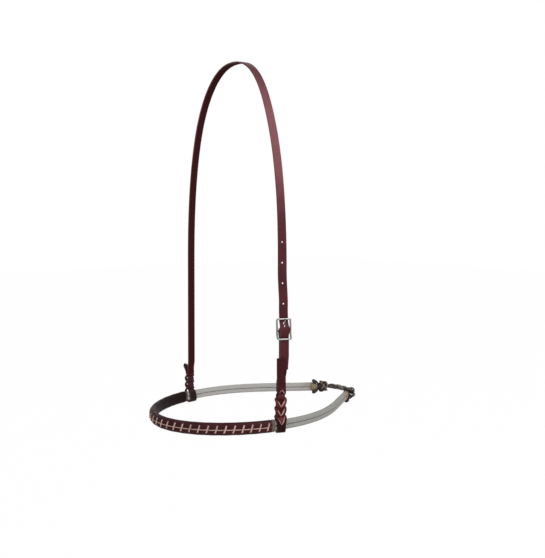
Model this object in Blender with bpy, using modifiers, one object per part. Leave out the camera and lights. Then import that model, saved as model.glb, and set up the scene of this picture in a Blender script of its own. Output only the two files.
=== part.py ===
"""Rope noseband on a leather hanger, as worn under a western headstall.

+X points towards the horse's nose, +Y to its left side, where the buckle is, and +Z up. The origin
is the middle of the crown's underside, which rests on the poll. The hanger is two straps joined by a
buckle. Each side ends in a blood knot whose loop holds the two ropes of the noseband.
"""

import math

import bmesh
import bpy
from mathutils import Matrix, Vector

MM = 0.001

# Straps
STRAP_WIDTH = 12.5 * MM
STRAP_THICKNESS = 2.2 * MM
LAYER_GAP = 0.35 * MM
CHEEK_YAW = math.radians(7.0)

# Crown arch, from the middle of one cheek to the middle of the other
HALF_SPREAD = 111.8 * MM
ARCH_HEIGHT = 301.0 * MM
ARCH_EXPONENT = 2.32
ARCH_ROWS = 66
CROWN_LEAN = 5.5 * MM
CROWN_LEAN_RUN = 100.0 * MM

# Runs down the near cheek: arch, buckle, free leather, tab and tail over the blood knot
CHEEK_TO_BUCKLE = 83.0 * MM
TAB_BELOW_BUCKLE = 26.0 * MM
TAB_OVER_TAIL = 17.0 * MM
FOLD_OVER_TAIL = 5.5 * MM
TAIL_ABOVE_KNOT = 14.75 * MM

# Shifts of the straps from the middle lines of their cheeks
NEAR_LOOP_FORWARD = 2.8 * MM
NEAR_KNOT_TOP_FORWARD = 1.4 * MM
TAB_FORWARD = 1.8 * MM
FAR_KNOT_FORWARD = 3.6 * MM
ABOVE_BUCKLE_BACK = 2.2 * MM
TOP_BAR_BACK = 3.4 * MM
CENTRE_BAR_BACK = 4.6 * MM
TAIL_BACK = 5.6 * MM
TAIL_END_BACK = 4.3 * MM

# Buckle: top and bottom bars stand outside the strap, the centre bar inside it
BAR_RADIUS = 1.5 * MM
TOP_BAR_RISE = 17.5 * MM
BOTTOM_BAR_FALL = 11.0 * MM
BUCKLE_INSIDE_WIDTH = 16.5 * MM
BUCKLE_CORNER_RADIUS = 3.0 * MM
END_BARS_OUT = 1.5 * MM
CENTRE_BAR_IN = 3.2 * MM
BAR_CLEARANCE = 0.3 * MM

# Tongue and holes
TONGUE_RADIUS = 0.9 * MM
TONGUE_OVERHANG = 2.2 * MM
TONGUE_SWING = math.radians(8.0)
TONGUE_EYE_SWEEP = math.radians(272.0)
TONGUE_HOLE_CLEARANCE = 0.4 * MM
SLOT_OVERRUN = 0.9 * MM
HOLE_PITCH = 28.6 * MM
HOLE_RADIUS = 1.7 * MM
HOLES_ABOVE_TONGUE = 4

# Noseband ropes
ROPE_RADIUS = 3.4 * MM
ROPE_GAP = 0.3 * MM
FRONT_REACH = 126.0 * MM
REAR_REACH = 208.0 * MM
KNOT_HALF_GAP = 34.4 * MM
REAR_ANGLE = math.radians(27.5)
FRONT_HANDLE_SHARE = 0.53
SIDE_HANDLE_SHARE = 0.506
REAR_SIDE_HANDLE_SHARE = 0.466
REAR_END_HANDLE_SHARE = 0.375
ROPE_POINTS = 74

# Blood knots, heights above the middle of the two ropes
FIRST_CROSSING = 11.4 * MM
CROSSING_PITCH = 10.3 * MM
NEAR_CROSSING_PITCH = 12.2 * MM
TOP_CROSSING_PITCH = 11.8 * MM
FAR_CROSSINGS = 3
KNOT_DEPTH = 1.95 * MM
WAIST_HALF_WIDTH = 5.7 * MM
PASSING_HALF_WIDTH = 3.2 * MM
EYE_CLEARANCE = 0.35 * MM
EYE_STRAND_WIDTH = 4.7 * MM
KNOT_TOP_RUN = 9.0 * MM
KNOT_STEP = 1.0 * MM
NOSEBAND_SWING = math.radians(5.0)
SWING_CLEARANCE = 0.3 * MM
ROPE_CLEARANCE = 0.6 * MM

# Slits, one for each crossing from the loop up, as shares of the crossing pitch
OUTER_LEG_SLIT = (True, False, True, True)
EYE_FULL_SHARE = 0.31
EYE_LOWER_END_SHARES = (0.70, 0.78, 0.62, 0.46)
EYE_UPPER_END_SHARE = 0.42
SQUEEZE_FULL_SHARE = 0.28
SQUEEZE_END_SHARE = 0.60

# Free tail of the far knot
TAIL_RISE = 49.5 * MM
TAIL_STAND_OFF = 11.0 * MM
TAIL_CURL = 1.5
TAIL_TIP_HALF_WIDTH = 0.6 * MM

# Laced cover
COVER_WALL = 1.4 * MM
COVER_CLEARANCE = 0.4 * MM
COVER_END_TO_NEAR_LOOP = 18.6 * MM
COVER_END_TO_FAR_LOOP = 17.2 * MM
COVER_SEAM_SHARE = 0.06
COVER_SEAM_OPENING = 1.2 * MM
COVER_ROWS = 40
COVER_COLUMNS = 14
LACE_RADIUS = 1.0 * MM
LACE_GAP = 0.35 * MM
LACE_STITCHES = 28
LACE_SLANT = 3.4 * MM
STITCH_TOP_SHARE = 0.60
STITCH_BOTTOM_SHARE = 0.52
STITCH_POINTS = 6

# Cord bindings at the ends of the cover
BINDING_RADIUS = 0.9 * MM
BINDING_TURNS = 2
BINDING_PITCH = 2.3 * MM
BINDING_TO_COVER = 0.35 * MM
TURN_POINTS = 24

# Rear ends
END_CAP_LENGTH = 12.0 * MM
END_CAP_ROUNDING = 0.75
COLLAR_RADIUS = 1.9 * MM
COLLAR_TIP_RADIUS = 0.9 * MM
COLLAR_WIDTH_SHARE = 1.9
COLLAR_START = math.radians(8.0)
END_GAP = 0.4 * MM
KNOT_LACE_RADIUS = 1.3 * MM
WEAVE_GAP = 0.7 * MM
TURKS_HEAD_HALF_LENGTH = 5.0 * MM
TURKS_HEAD_LEADS = 3
TURKS_HEAD_BIGHTS = 4
LINK_STRANDS = 3
LINK_STRAND_RADIUS = 1.5 * MM
LINK_TWISTS = 2.25
LINK_HANDLE = 17.0 * MM
LINK_POINTS = 34

# Overrun of cutters past what they cut, and points on curved stretches
OVERRUN = 4.0 * MM
HOLE_SIDES = 10
WIRE_SIDES = 12
CAP_SIDES = 16
SEARCH_STEPS = 40
LOOP_POINTS = 8
FOLD_POINTS = 12
CORNER_POINTS = 4
FRAME_SIDE_POINTS = 8
EYE_POINTS = 14
SHANK_POINTS = 5
ROUTE_POINTS = 40
COLLAR_POINTS = 12
LEAD_POINTS = 8
SMOOTHING_PASSES = 2

# Colours as red, green, blue, then roughness and metallic
LATIGO = ((0.085, 0.022, 0.026), 0.45, 0.0)
LATIGO_LIGHT = ((0.11, 0.030, 0.034), 0.45, 0.0)
STEEL = ((0.62, 0.62, 0.62), 0.25, 1.0)
ROPE_GREY = ((0.36, 0.36, 0.33), 0.8, 0.0)
COVER_LEATHER = ((0.045, 0.018, 0.018), 0.5, 0.0)
RAWHIDE = ((0.52, 0.34, 0.25), 0.55, 0.0)
TAN_END = ((0.22, 0.15, 0.09), 0.6, 0.0)
DARK_LACE = ((0.05, 0.035, 0.038), 0.5, 0.0)
BINDING_CORD = ((0.30, 0.27, 0.21), 0.7, 0.0)

MERGE = 0.00001
NEARLY_ZERO = 0.001
LEG_OFFSET = ROPE_RADIUS + ROPE_CLEARANCE + STRAP_THICKNESS / 2
LOOP_REACH = WAIST_HALF_WIDTH + NEAR_LOOP_FORWARD / 2
LOOP_DROP = SWING_CLEARANCE + LOOP_REACH * math.tan(NOSEBAND_SWING)
ROPE_LIFT = ROPE_RADIUS + ROPE_GAP / 2
PAIR_HALF_HEIGHT = ROPE_LIFT + ROPE_RADIUS
NEAR_KNOT_TOP = (FIRST_CROSSING + NEAR_CROSSING_PITCH * (FAR_CROSSINGS - 1)
                 + TOP_CROSSING_PITCH + CROSSING_PITCH / 2 + KNOT_TOP_RUN)
TAIL_END_RISE = NEAR_KNOT_TOP + TAIL_ABOVE_KNOT
FOLD_END_RISE = TAIL_END_RISE + FOLD_OVER_TAIL
TAB_RISE = TAIL_END_RISE + TAB_OVER_TAIL
CENTRE_BAR_DROP = ARCH_HEIGHT + CHEEK_TO_BUCKLE
NOSEBAND_DROP = CENTRE_BAR_DROP + BOTTOM_BAR_FALL + TAB_BELOW_BUCKLE + TAB_RISE
LAYER_STEP = STRAP_THICKNESS + LAYER_GAP
FOLD_RADIUS = BAR_RADIUS + BAR_CLEARANCE + STRAP_THICKNESS / 2


# Scene and object helpers

def clear_scene():
    """Remove every object, so the model is alone."""
    for thing in list(bpy.data.objects):
        bpy.data.objects.remove(thing, do_unlink=True)


def make_collection(name):
    """Return a new collection linked to the scene."""
    group = bpy.data.collections.new(name)
    bpy.context.scene.collection.children.link(group)
    return group


def make_material(name, finish):
    """Return a Principled material from a colour, a roughness and a metallic value."""
    colour, roughness, metallic = finish
    material = bpy.data.materials.new(name)
    material.use_nodes = True
    shader = material.node_tree.nodes["Principled BSDF"]
    shader.inputs["Base Color"].default_value = (*colour, 1.0)
    shader.inputs["Roughness"].default_value = roughness
    shader.inputs["Metallic"].default_value = metallic
    return material


def add_object(name, data, finish, group):
    """Put data in an object with its own material."""
    thing = bpy.data.objects.new(name, data)
    group.objects.link(thing)
    data.materials.append(make_material(name, finish))
    return thing


def add_cutter(name, bm, group):
    """Turn a bmesh into a hidden cutter."""
    mesh = bpy.data.meshes.new(name)
    bm.to_mesh(mesh)
    bm.free()
    cutter = bpy.data.objects.new(name, mesh)
    group.objects.link(cutter)
    cutter.hide_render = True
    cutter.display_type = "WIRE"
    return cutter


def add_boolean(thing, cutter, operation):
    """Cut or join with the exact solver."""
    boolean = thing.modifiers.new(operation.lower(), "BOOLEAN")
    boolean.operation = operation
    boolean.solver = "EXACT"
    boolean.object = cutter


def tube_curve(name, points, radius, sides_level, cyclic=False, radii=None):
    """Return curve data for a round tube along points, with a radius for each point or one."""
    curve = bpy.data.curves.new(name, "CURVE")
    curve.dimensions = "3D"
    curve.bevel_depth = radius
    curve.bevel_resolution = sides_level
    curve.use_fill_caps = not cyclic
    curve.render_resolution_u = 0
    spline = curve.splines.new("POLY")
    spline.points.add(len(points) - 1)
    for i, point in enumerate(points):
        spline.points[i].co = (*point, 1.0)
        spline.points[i].radius = radii[i] / radius if radii else 1.0
    spline.use_cyclic_u = cyclic
    spline.use_smooth = True
    return curve


def curve_to_mesh(thing):
    """Replace a curve object by a closed mesh object of the same name, finish and place."""
    graph = bpy.context.evaluated_depsgraph_get()
    mesh = bpy.data.meshes.new_from_object(thing.evaluated_get(graph), depsgraph=graph)
    bm = bmesh.new()
    bm.from_mesh(mesh)
    bmesh.ops.remove_doubles(bm, verts=bm.verts, dist=MERGE)
    bmesh.ops.recalc_face_normals(bm, faces=bm.faces)
    bm.to_mesh(mesh)
    bm.free()
    name = thing.name
    groups = list(thing.users_collection)
    matrix = thing.matrix_world.copy()
    bpy.data.objects.remove(thing, do_unlink=True)
    solid = bpy.data.objects.new(name, mesh)
    for group in groups:
        group.objects.link(solid)
    solid.matrix_world = matrix
    return solid


# Plain geometry helpers

def ease(value):
    """Smooth step from 0 to 1."""
    value = min(max(value, 0.0), 1.0)
    return value * value * (3.0 - 2.0 * value)


def eased_profile(keys, height):
    """Read a smooth value at a height from (height, value) keys that run upwards."""
    if height <= keys[0][0]:
        return keys[0][1]
    for (low, start), (high, end) in zip(keys, keys[1:]):
        if height <= high:
            return start + (end - start) * ease((height - low) / (high - low))
    return keys[-1][1]


def steps(start, end, size):
    """Evenly spaced values from start to end, about size apart."""
    count = max(2, round(abs(end - start) / size))
    return [start + (end - start) * i / count for i in range(count + 1)]


def bezier(a, b, c, d, count):
    """Points on a cubic, both ends included."""
    points = []
    for i in range(count + 1):
        t = i / count
        u = 1.0 - t
        points.append(a * u ** 3 + b * (3 * u * u * t) + c * (3 * u * t * t) + d * t ** 3)
    return points


class Route:
    """A polyline that can be read at any distance along it."""

    def __init__(self, points):
        self.points = points
        self.marks = [0.0]
        for a, b in zip(points, points[1:]):
            self.marks.append(self.marks[-1] + (b - a).length)
        self.length = self.marks[-1]

    def at(self, distance):
        """Point and unit tangent at a distance from the start."""
        distance = min(max(distance, 0.0), self.length)
        index = 0
        while index < len(self.points) - 2 and self.marks[index + 1] < distance:
            index += 1
        a, b = self.points[index], self.points[index + 1]
        share = (distance - self.marks[index]) / (self.marks[index + 1] - self.marks[index])
        before = self.points[max(index - 1, 0)]
        after = self.points[min(index + 2, len(self.points) - 1)]
        tangent = (b - before).lerp(after - a, share).normalized()
        return a.lerp(b, share), tangent


# Cheek frames: out points away from the horse, across points to its nose

def cheek_axes(side):
    """Out and across directions of a cheek, side is 1 near and -1 far."""
    across = Vector((math.cos(CHEEK_YAW), -side * math.sin(CHEEK_YAW), 0.0))
    out = Vector((math.sin(CHEEK_YAW), side * math.cos(CHEEK_YAW), 0.0))
    return out, across


def cheek_point(side, out_by, height, forward=0.0):
    """Point at an offset from the middle line of a cheek strap."""
    out, across = cheek_axes(side)
    return Vector((0.0, side * HALF_SPREAD, height)) + out * out_by + across * forward


class Station:
    """One row of a strap: its middle, its width direction, its half width and its slit."""

    def __init__(self, middle, across, half_width, eye=0.0):
        self.middle = middle
        self.across = across
        self.half_width = half_width
        self.eye = eye


def smooth_middles(stations, first, last):
    """Ease the kinks of the middle line between two rows."""
    middles = [station.middle.copy() for station in stations]
    for i in range(max(first, 1), min(last, len(stations) - 1)):
        stations[i].middle = (middles[i - 1] + middles[i] * 2 + middles[i + 1]) / 4


def strap_object(name, stations, finish, group):
    """Loft a strap through its stations, open where it is slit, and give it its thickness."""
    bm = bmesh.new()
    rows = len(stations) - 1
    bmesh.ops.create_grid(bm, x_segments=3, y_segments=rows, size=1.0)
    middle_faces = [face for face in bm.faces if abs(face.calc_center_median().x) < 0.5 / 3]
    bmesh.ops.delete(bm, geom=middle_faces, context="FACES_ONLY")
    for vert in bm.verts:
        station = stations[round((vert.co.y + 1.0) / 2 * rows)]
        side = 1.0 if vert.co.x > 0 else -1.0
        offset = station.half_width if abs(vert.co.x) > 0.5 else station.eye
        vert.co = station.middle + station.across * (side * offset)
    bmesh.ops.remove_doubles(bm, verts=bm.verts, dist=MERGE)
    bmesh.ops.recalc_face_normals(bm, faces=bm.faces)
    mesh = bpy.data.meshes.new(name)
    bm.to_mesh(mesh)
    bm.free()
    strap = add_object(name, mesh, finish, group)
    thickness = strap.modifiers.new("thickness", "SOLIDIFY")
    thickness.thickness = STRAP_THICKNESS
    thickness.offset = 0.0
    thickness.use_even_offset = True
    return strap


# Blood knots

def crossing_heights(side):
    """Heights of the crossings above the ropes: four on the near side, three on the far one."""
    pitch = NEAR_CROSSING_PITCH if side > 0 else CROSSING_PITCH
    heights = [FIRST_CROSSING + pitch * k for k in range(FAR_CROSSINGS)]
    if side > 0:
        heights.append(heights[-1] + TOP_CROSSING_PITCH)
    return heights


def knot_forward(side, height):
    """Forward shift of a blood knot and its loop at a height above the ropes."""
    crossings = crossing_heights(side)
    knot_top = crossings[-1] + CROSSING_PITCH / 2 + KNOT_TOP_RUN
    if side > 0:
        keys = [(crossings[0], NEAR_LOOP_FORWARD), (knot_top, NEAR_KNOT_TOP_FORWARD),
                (TAIL_END_RISE, TAB_FORWARD)]
    else:
        keys = [(-PAIR_HALF_HEIGHT, 0.0), (crossings[0] + CROSSING_PITCH / 2, FAR_KNOT_FORWARD),
                (crossings[-1], FAR_KNOT_FORWARD), (knot_top + CROSSING_PITCH, 0.0)]
    return eased_profile(keys, height)


def slit_opening(distance, lower_end, upper_end):
    """How far a slit is open at a distance above its crossing, from 0 to 1, closing in a V."""
    full = CROSSING_PITCH * EYE_FULL_SHARE
    end = CROSSING_PITCH * (upper_end if distance > 0 else lower_end)
    return min(max((end - abs(distance)) / (end - full), 0.0), 1.0)


def leg_offset(height, side, outer, top_offset):
    """Outward offset of one leg at a height above the ropes."""
    heights = crossing_heights(side)
    sign = 1.0 if outer else -1.0
    if height <= ROPE_LIFT:
        return sign * LEG_OFFSET
    if height <= heights[0]:
        turn = (height - ROPE_LIFT) / (heights[0] - ROPE_LIFT)
        return sign * LEG_OFFSET * math.cos(turn * math.pi / 2)
    for k, (low, high) in enumerate(zip(heights, heights[1:])):
        if height <= high:
            wave = math.sin(math.pi * (height - low) / (high - low))
            return -sign * (-1.0) ** k * KNOT_DEPTH * wave
    end_sign = -sign * (-1.0) ** (len(heights) - 1)
    wave = math.sin(math.pi / 2 * min((height - heights[-1]) / (CROSSING_PITCH / 2), 1.0))
    knot_end = end_sign * KNOT_DEPTH * wave
    run = ease((height - heights[-1] - CROSSING_PITCH / 2) / KNOT_TOP_RUN)
    return knot_end + (top_offset - end_sign * KNOT_DEPTH) * run


def leg_widths(height, side, outer):
    """Half width and slit of one leg at a height above the ropes."""
    heights = crossing_heights(side)
    last = heights[-1] + CROSSING_PITCH / 2
    half_width = WAIST_HALF_WIDTH
    half_width += (STRAP_WIDTH / 2 - WAIST_HALF_WIDTH) * ease((height - last) / CROSSING_PITCH)
    eye = 0.0
    eye_half = PASSING_HALF_WIDTH + EYE_CLEARANCE
    for centre, outer_slit, lower_end in zip(heights, OUTER_LEG_SLIT, EYE_LOWER_END_SHARES):
        distance = height - centre
        if outer_slit == outer:
            opening = slit_opening(distance, lower_end, EYE_UPPER_END_SHARE)
            eye = max(eye, eye_half * opening)
            half_width += (eye_half + EYE_STRAND_WIDTH - WAIST_HALF_WIDTH) * opening
        else:
            narrow = CROSSING_PITCH * SQUEEZE_FULL_SHARE
            end = CROSSING_PITCH * SQUEEZE_END_SHARE
            squeeze = min(max((end - abs(distance)) / (end - narrow), 0.0), 1.0)
            half_width -= (half_width - PASSING_HALF_WIDTH) * squeeze
    return half_width, eye


def leg_stations(side, outer, top, top_offset):
    """Rows of one leg, from the level of the upper rope up to a height above the ropes."""
    across = cheek_axes(side)[1]
    rows = []
    for height in steps(ROPE_LIFT, top, KNOT_STEP):
        out_by = leg_offset(height, side, outer, top_offset)
        half_width, eye = leg_widths(height, side, outer)
        forward = knot_forward(side, height)
        middle = cheek_point(side, out_by, height - NOSEBAND_DROP, forward)
        rows.append(Station(middle, across, half_width, eye if eye > EYE_CLEARANCE else 0.0))
    return rows


def loop_stations(side):
    """Rows round the underside of the lower rope, from the outer leg to the inner one."""
    across = cheek_axes(side)[1]
    low = -ROPE_LIFT - LOOP_DROP
    route = [(LEG_OFFSET, height) for height in steps(ROPE_LIFT, low, KNOT_STEP * 2)[1:-1]]
    for i in range(LOOP_POINTS + 1):
        turn = math.pi * i / LOOP_POINTS
        route.append((LEG_OFFSET * math.cos(turn), low - LEG_OFFSET * math.sin(turn)))
    route += [(-LEG_OFFSET, height) for height in steps(low, ROPE_LIFT, KNOT_STEP * 2)[1:-1]]
    rows = []
    for out_by, height in route:
        forward = knot_forward(side, height)
        middle = cheek_point(side, out_by, height - NOSEBAND_DROP, forward)
        rows.append(Station(middle, across, WAIST_HALF_WIDTH))
    return rows


# Hanger: crown strap

def buckle_heights():
    """Heights of the bottom, centre and top bars."""
    centre = -CENTRE_BAR_DROP
    return centre - BOTTOM_BAR_FALL, centre, centre + TOP_BAR_RISE


def behind_bar_offset():
    """Outward offset of the crown strap where it passes behind an end bar."""
    return END_BARS_OUT - BAR_RADIUS - BAR_CLEARANCE - STRAP_THICKNESS / 2


def over_bar_offset():
    """Outward offset of the crown strap where it passes over the fold on the centre bar."""
    return -CENTRE_BAR_IN + FOLD_RADIUS + STRAP_THICKNESS / 2 + LAYER_GAP + STRAP_THICKNESS / 2


def crown_offset(height):
    """Outward offset of the crown strap along the near cheek."""
    bottom, centre, top = buckle_heights()
    settled = top + TOP_BAR_RISE + BOTTOM_BAR_FALL
    keys = [(bottom, behind_bar_offset()), (centre, over_bar_offset()),
            (top, behind_bar_offset()), (settled, 0.0)]
    return eased_profile(keys, height)


def slot_reach():
    """How far the tongue's eye and its slot reach above and below the centre bar."""
    return BAR_RADIUS + BAR_CLEARANCE + TONGUE_RADIUS * 2 + SLOT_OVERRUN


def crown_forward(height):
    """Forward shift of the crown strap along the near cheek, which drifts back as it goes down."""
    bottom, centre, top = buckle_heights()
    tail_end = TAIL_END_RISE - NOSEBAND_DROP
    keys = [(tail_end, -TAIL_END_BACK), ((tail_end + bottom) / 2, -TAIL_BACK),
            (bottom, -TAIL_BACK), (centre - slot_reach(), -CENTRE_BAR_BACK),
            (centre + slot_reach(), -CENTRE_BAR_BACK), (top, -TOP_BAR_BACK),
            (top + TOP_BAR_RISE, -ABOVE_BUCKLE_BACK), (STRAP_THICKNESS / 2 - ARCH_HEIGHT, 0.0)]
    return eased_profile(keys, height)


def crown_strap_stations():
    """Rows from the tail below the buckle, over the crown, to the free end of the far knot."""
    half = STRAP_WIDTH / 2
    near_across = cheek_axes(1)[1]
    rows = []
    tail_end = TAIL_END_RISE - NOSEBAND_DROP
    top = buckle_heights()[2]
    cheek_top = STRAP_THICKNESS / 2 - ARCH_HEIGHT
    for height in steps(tail_end, top + TOP_BAR_RISE, KNOT_STEP * 2):
        middle = cheek_point(1, crown_offset(height), height, crown_forward(height))
        rows.append(Station(middle, near_across, half))
    start = top + TOP_BAR_RISE
    for height in steps(start, cheek_top, CROSSING_PITCH)[1:]:
        middle = cheek_point(1, crown_offset(height), height, crown_forward(height))
        rows.append(Station(middle, near_across, half))
    for i in range(1, ARCH_ROWS):
        angle = math.pi * i / ARCH_ROWS
        power = 2.0 / ARCH_EXPONENT
        y = HALF_SPREAD * math.copysign(abs(math.cos(angle)) ** power, math.cos(angle))
        z = cheek_top + ARCH_HEIGHT * math.sin(angle) ** power
        lean = CROWN_LEAN * max(1.0 + z / CROWN_LEAN_RUN, 0.0) ** 2
        tangent = arch_tangent(angle)
        normal = Vector((0.0, -tangent.z, tangent.y))
        yaw = CHEEK_YAW * y / HALF_SPREAD
        across = Vector((math.cos(yaw), 0.0, 0.0)) + normal * math.sin(abs(yaw))
        rows.append(Station(Vector((0.0, y + lean, z)), across, half))
    far_across = cheek_axes(-1)[1]
    knot_top = crossing_heights(-1)[-1] + CROSSING_PITCH / 2 + KNOT_TOP_RUN
    for height in steps(cheek_top, knot_top - NOSEBAND_DROP, CROSSING_PITCH)[:-1]:
        forward = knot_forward(-1, height + NOSEBAND_DROP)
        rows.append(Station(cheek_point(-1, 0.0, height, forward), far_across, half))
    first = len(rows)
    rows += reversed(leg_stations(-1, True, knot_top, 0.0))
    rows += loop_stations(-1)
    rows += tail_leg_stations()
    for _ in range(SMOOTHING_PASSES):
        smooth_middles(rows, first - 1, len(rows))
    return rows


def arch_tangent(angle):
    """Unit direction of travel along the arch, from the near side to the far one."""
    power = 2.0 / ARCH_EXPONENT
    cosine = max(abs(math.cos(angle)), NEARLY_ZERO)
    sine = max(math.sin(angle), NEARLY_ZERO)
    dy = -HALF_SPREAD * power * cosine ** (power - 1) * math.sin(angle)
    dz = ARCH_HEIGHT * power * sine ** (power - 1) * math.cos(angle)
    return Vector((0.0, dy, dz)).normalized()


def tail_leg_stations():
    """Inner leg of the far loop, up through the knot and out into the rounded free end."""
    last = crossing_heights(-1)[-1] + CROSSING_PITCH / 2
    rows = leg_stations(-1, False, last, 0.0)
    across = cheek_axes(-1)[1]
    half = WAIST_HALF_WIDTH
    for height in steps(last, TAIL_RISE, KNOT_STEP)[1:]:
        share = (height - last) / (TAIL_RISE - last)
        out_by = KNOT_DEPTH + TAIL_STAND_OFF * share ** TAIL_CURL
        left = max(TAIL_RISE - height, 0.0)
        rounding = math.sqrt(max(1.0 - max(1.0 - left / half, 0.0) ** 2, 0.0))
        width = max(half * rounding, TAIL_TIP_HALF_WIDTH)
        middle = cheek_point(-1, out_by, height - NOSEBAND_DROP, FAR_KNOT_FORWARD)
        rows.append(Station(middle, across, width))
    return rows


def tongue_line():
    """Pivot, start, direction, eye radius and lean of the tongue, in out and up coordinates."""
    _, centre, top = buckle_heights()
    pivot = Vector((-CENTRE_BAR_IN, centre))
    bar = Vector((END_BARS_OUT, top))
    reach = BAR_RADIUS + BAR_CLEARANCE + TONGUE_RADIUS
    between = bar - pivot
    lean = math.atan2(between.x, between.y) + math.asin(2 * reach / between.length)
    direction = Vector((math.sin(lean), math.cos(lean)))
    start = pivot + Vector((-math.cos(lean), math.sin(lean))) * reach
    return pivot, start, direction, reach, lean


def tongue_hole_height():
    """Height where the tongue crosses the crown strap."""
    _, start, direction, _, _ = tongue_line()
    low, high = 0.0, TOP_BAR_RISE
    for _ in range(SEARCH_STEPS):
        middle = (low + high) / 2
        point = start + direction * middle
        if point.x < crown_offset(point.y):
            low = middle
        else:
            high = middle
    return (start + direction * low).y


def hole_cutter(height, group):
    """Round punch through the crown strap on the near cheek."""
    bm = bmesh.new()
    bmesh.ops.create_cone(bm, cap_ends=True, segments=HOLE_SIDES, radius1=HOLE_RADIUS,
                          radius2=HOLE_RADIUS, depth=OVERRUN * 2)
    out, across = cheek_axes(1)
    turn = Matrix((Vector((0.0, 0.0, 1.0)), across, out)).transposed().to_4x4()
    middle = cheek_point(1, crown_offset(height), height, crown_forward(height))
    bmesh.ops.transform(bm, matrix=Matrix.Translation(middle) @ turn, verts=bm.verts)
    return add_cutter("hole_cutter", bm, group)


def tongue_slot_cutter(swing, group):
    """Clear way for the tongue through the strap at one angle of its swing."""
    pivot, start, direction, _, _ = tongue_line()
    turn = Matrix.Rotation(-swing, 2)
    middle = pivot + turn @ (start - pivot + direction * (TOP_BAR_RISE / 2))
    heading = turn @ direction
    out, across = cheek_axes(1)
    axis = out * heading.x + Vector((0.0, 0.0, 1.0)) * heading.y
    side = axis.cross(across)
    bm = bmesh.new()
    radius = TONGUE_RADIUS + TONGUE_HOLE_CLEARANCE
    bmesh.ops.create_cone(bm, cap_ends=True, segments=WIRE_SIDES, radius1=radius,
                          radius2=radius, depth=TOP_BAR_RISE)
    frame = Matrix((across, side, axis)).transposed().to_4x4()
    place = cheek_point(1, middle.x, middle.y, -CENTRE_BAR_BACK)
    bmesh.ops.transform(bm, matrix=Matrix.Translation(place) @ frame, verts=bm.verts)
    bmesh.ops.recalc_face_normals(bm, faces=bm.faces)
    return add_cutter("tongue_slot_cutter", bm, group)


def build_crown_strap(group, cutters):
    """One strap from the buckle over the poll to the far blood knot, with its punched holes."""
    strap = strap_object("crown_strap", crown_strap_stations(), LATIGO, group)
    for k in range(HOLES_ABOVE_TONGUE):
        height = tongue_hole_height() + HOLE_PITCH * (k + 1)
        add_boolean(strap, hole_cutter(height, cutters), "DIFFERENCE")
    for share in (0.0, 0.5, 1.0):
        add_boolean(strap, tongue_slot_cutter(TONGUE_SWING * share, cutters), "DIFFERENCE")


# Hanger: near cheek strap, buckle and tongue

def build_near_cheek_strap(group):
    """One strap: front tab, outer leg, loop, inner leg, fold round the centre bar, tucked end."""
    across = cheek_axes(1)[1]
    half = STRAP_WIDTH / 2
    bottom, centre, _ = buckle_heights()
    tail_offset = behind_bar_offset()
    tab_offset = tail_offset + LAYER_STEP
    tuck_offset = tail_offset - LAYER_STEP
    inner_offset = tuck_offset - LAYER_STEP
    rows = []
    for height in steps(TAB_RISE, NEAR_KNOT_TOP, CROSSING_PITCH)[:-1]:
        forward = knot_forward(1, height)
        middle = cheek_point(1, tab_offset, height - NOSEBAND_DROP, forward)
        rows.append(Station(middle, across, half))
    first = len(rows)
    rows += reversed(leg_stations(1, True, NEAR_KNOT_TOP, tab_offset))
    rows += loop_stations(1)
    rows += leg_stations(1, False, NEAR_KNOT_TOP, -KNOT_DEPTH)
    last = len(rows)
    tail_end = TAIL_END_RISE - NOSEBAND_DROP
    knot_height = NEAR_KNOT_TOP - NOSEBAND_DROP
    for height in steps(knot_height, centre, KNOT_STEP * 3)[1:]:
        keys = [(knot_height, -KNOT_DEPTH), (tail_end, inner_offset), (bottom, inner_offset),
                (centre, -CENTRE_BAR_IN - FOLD_RADIUS)]
        back = [(knot_height, NEAR_KNOT_TOP_FORWARD), (tail_end, crown_forward(tail_end))]
        forward = crown_forward(height) if height > tail_end else eased_profile(back, height)
        middle = cheek_point(1, eased_profile(keys, height), height, forward)
        rows.append(Station(middle, across, half, fold_slot(height)))
    for i in range(1, FOLD_POINTS):
        turn = math.pi * i / FOLD_POINTS
        out_by = -CENTRE_BAR_IN - FOLD_RADIUS * math.cos(turn)
        height = centre + FOLD_RADIUS * math.sin(turn)
        middle = cheek_point(1, out_by, height, crown_forward(height))
        rows.append(Station(middle, across, half, fold_slot(height)))
    fold_end = FOLD_END_RISE - NOSEBAND_DROP
    keys = [(bottom, tuck_offset), (centre, -CENTRE_BAR_IN + FOLD_RADIUS)]
    for height in steps(centre, fold_end, KNOT_STEP * 3):
        middle = cheek_point(1, eased_profile(keys, height), height, crown_forward(height))
        rows.append(Station(middle, across, half, fold_slot(height)))
    for _ in range(SMOOTHING_PASSES):
        smooth_middles(rows, first - 1, last)
    strap_object("near_cheek_strap", rows, LATIGO_LIGHT, group)


def fold_slot(height):
    """Half width of the slot that lets the tongue through the fold."""
    inside = height > buckle_heights()[1] - slot_reach()
    return TONGUE_RADIUS + TONGUE_HOLE_CLEARANCE if inside else 0.0


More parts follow.
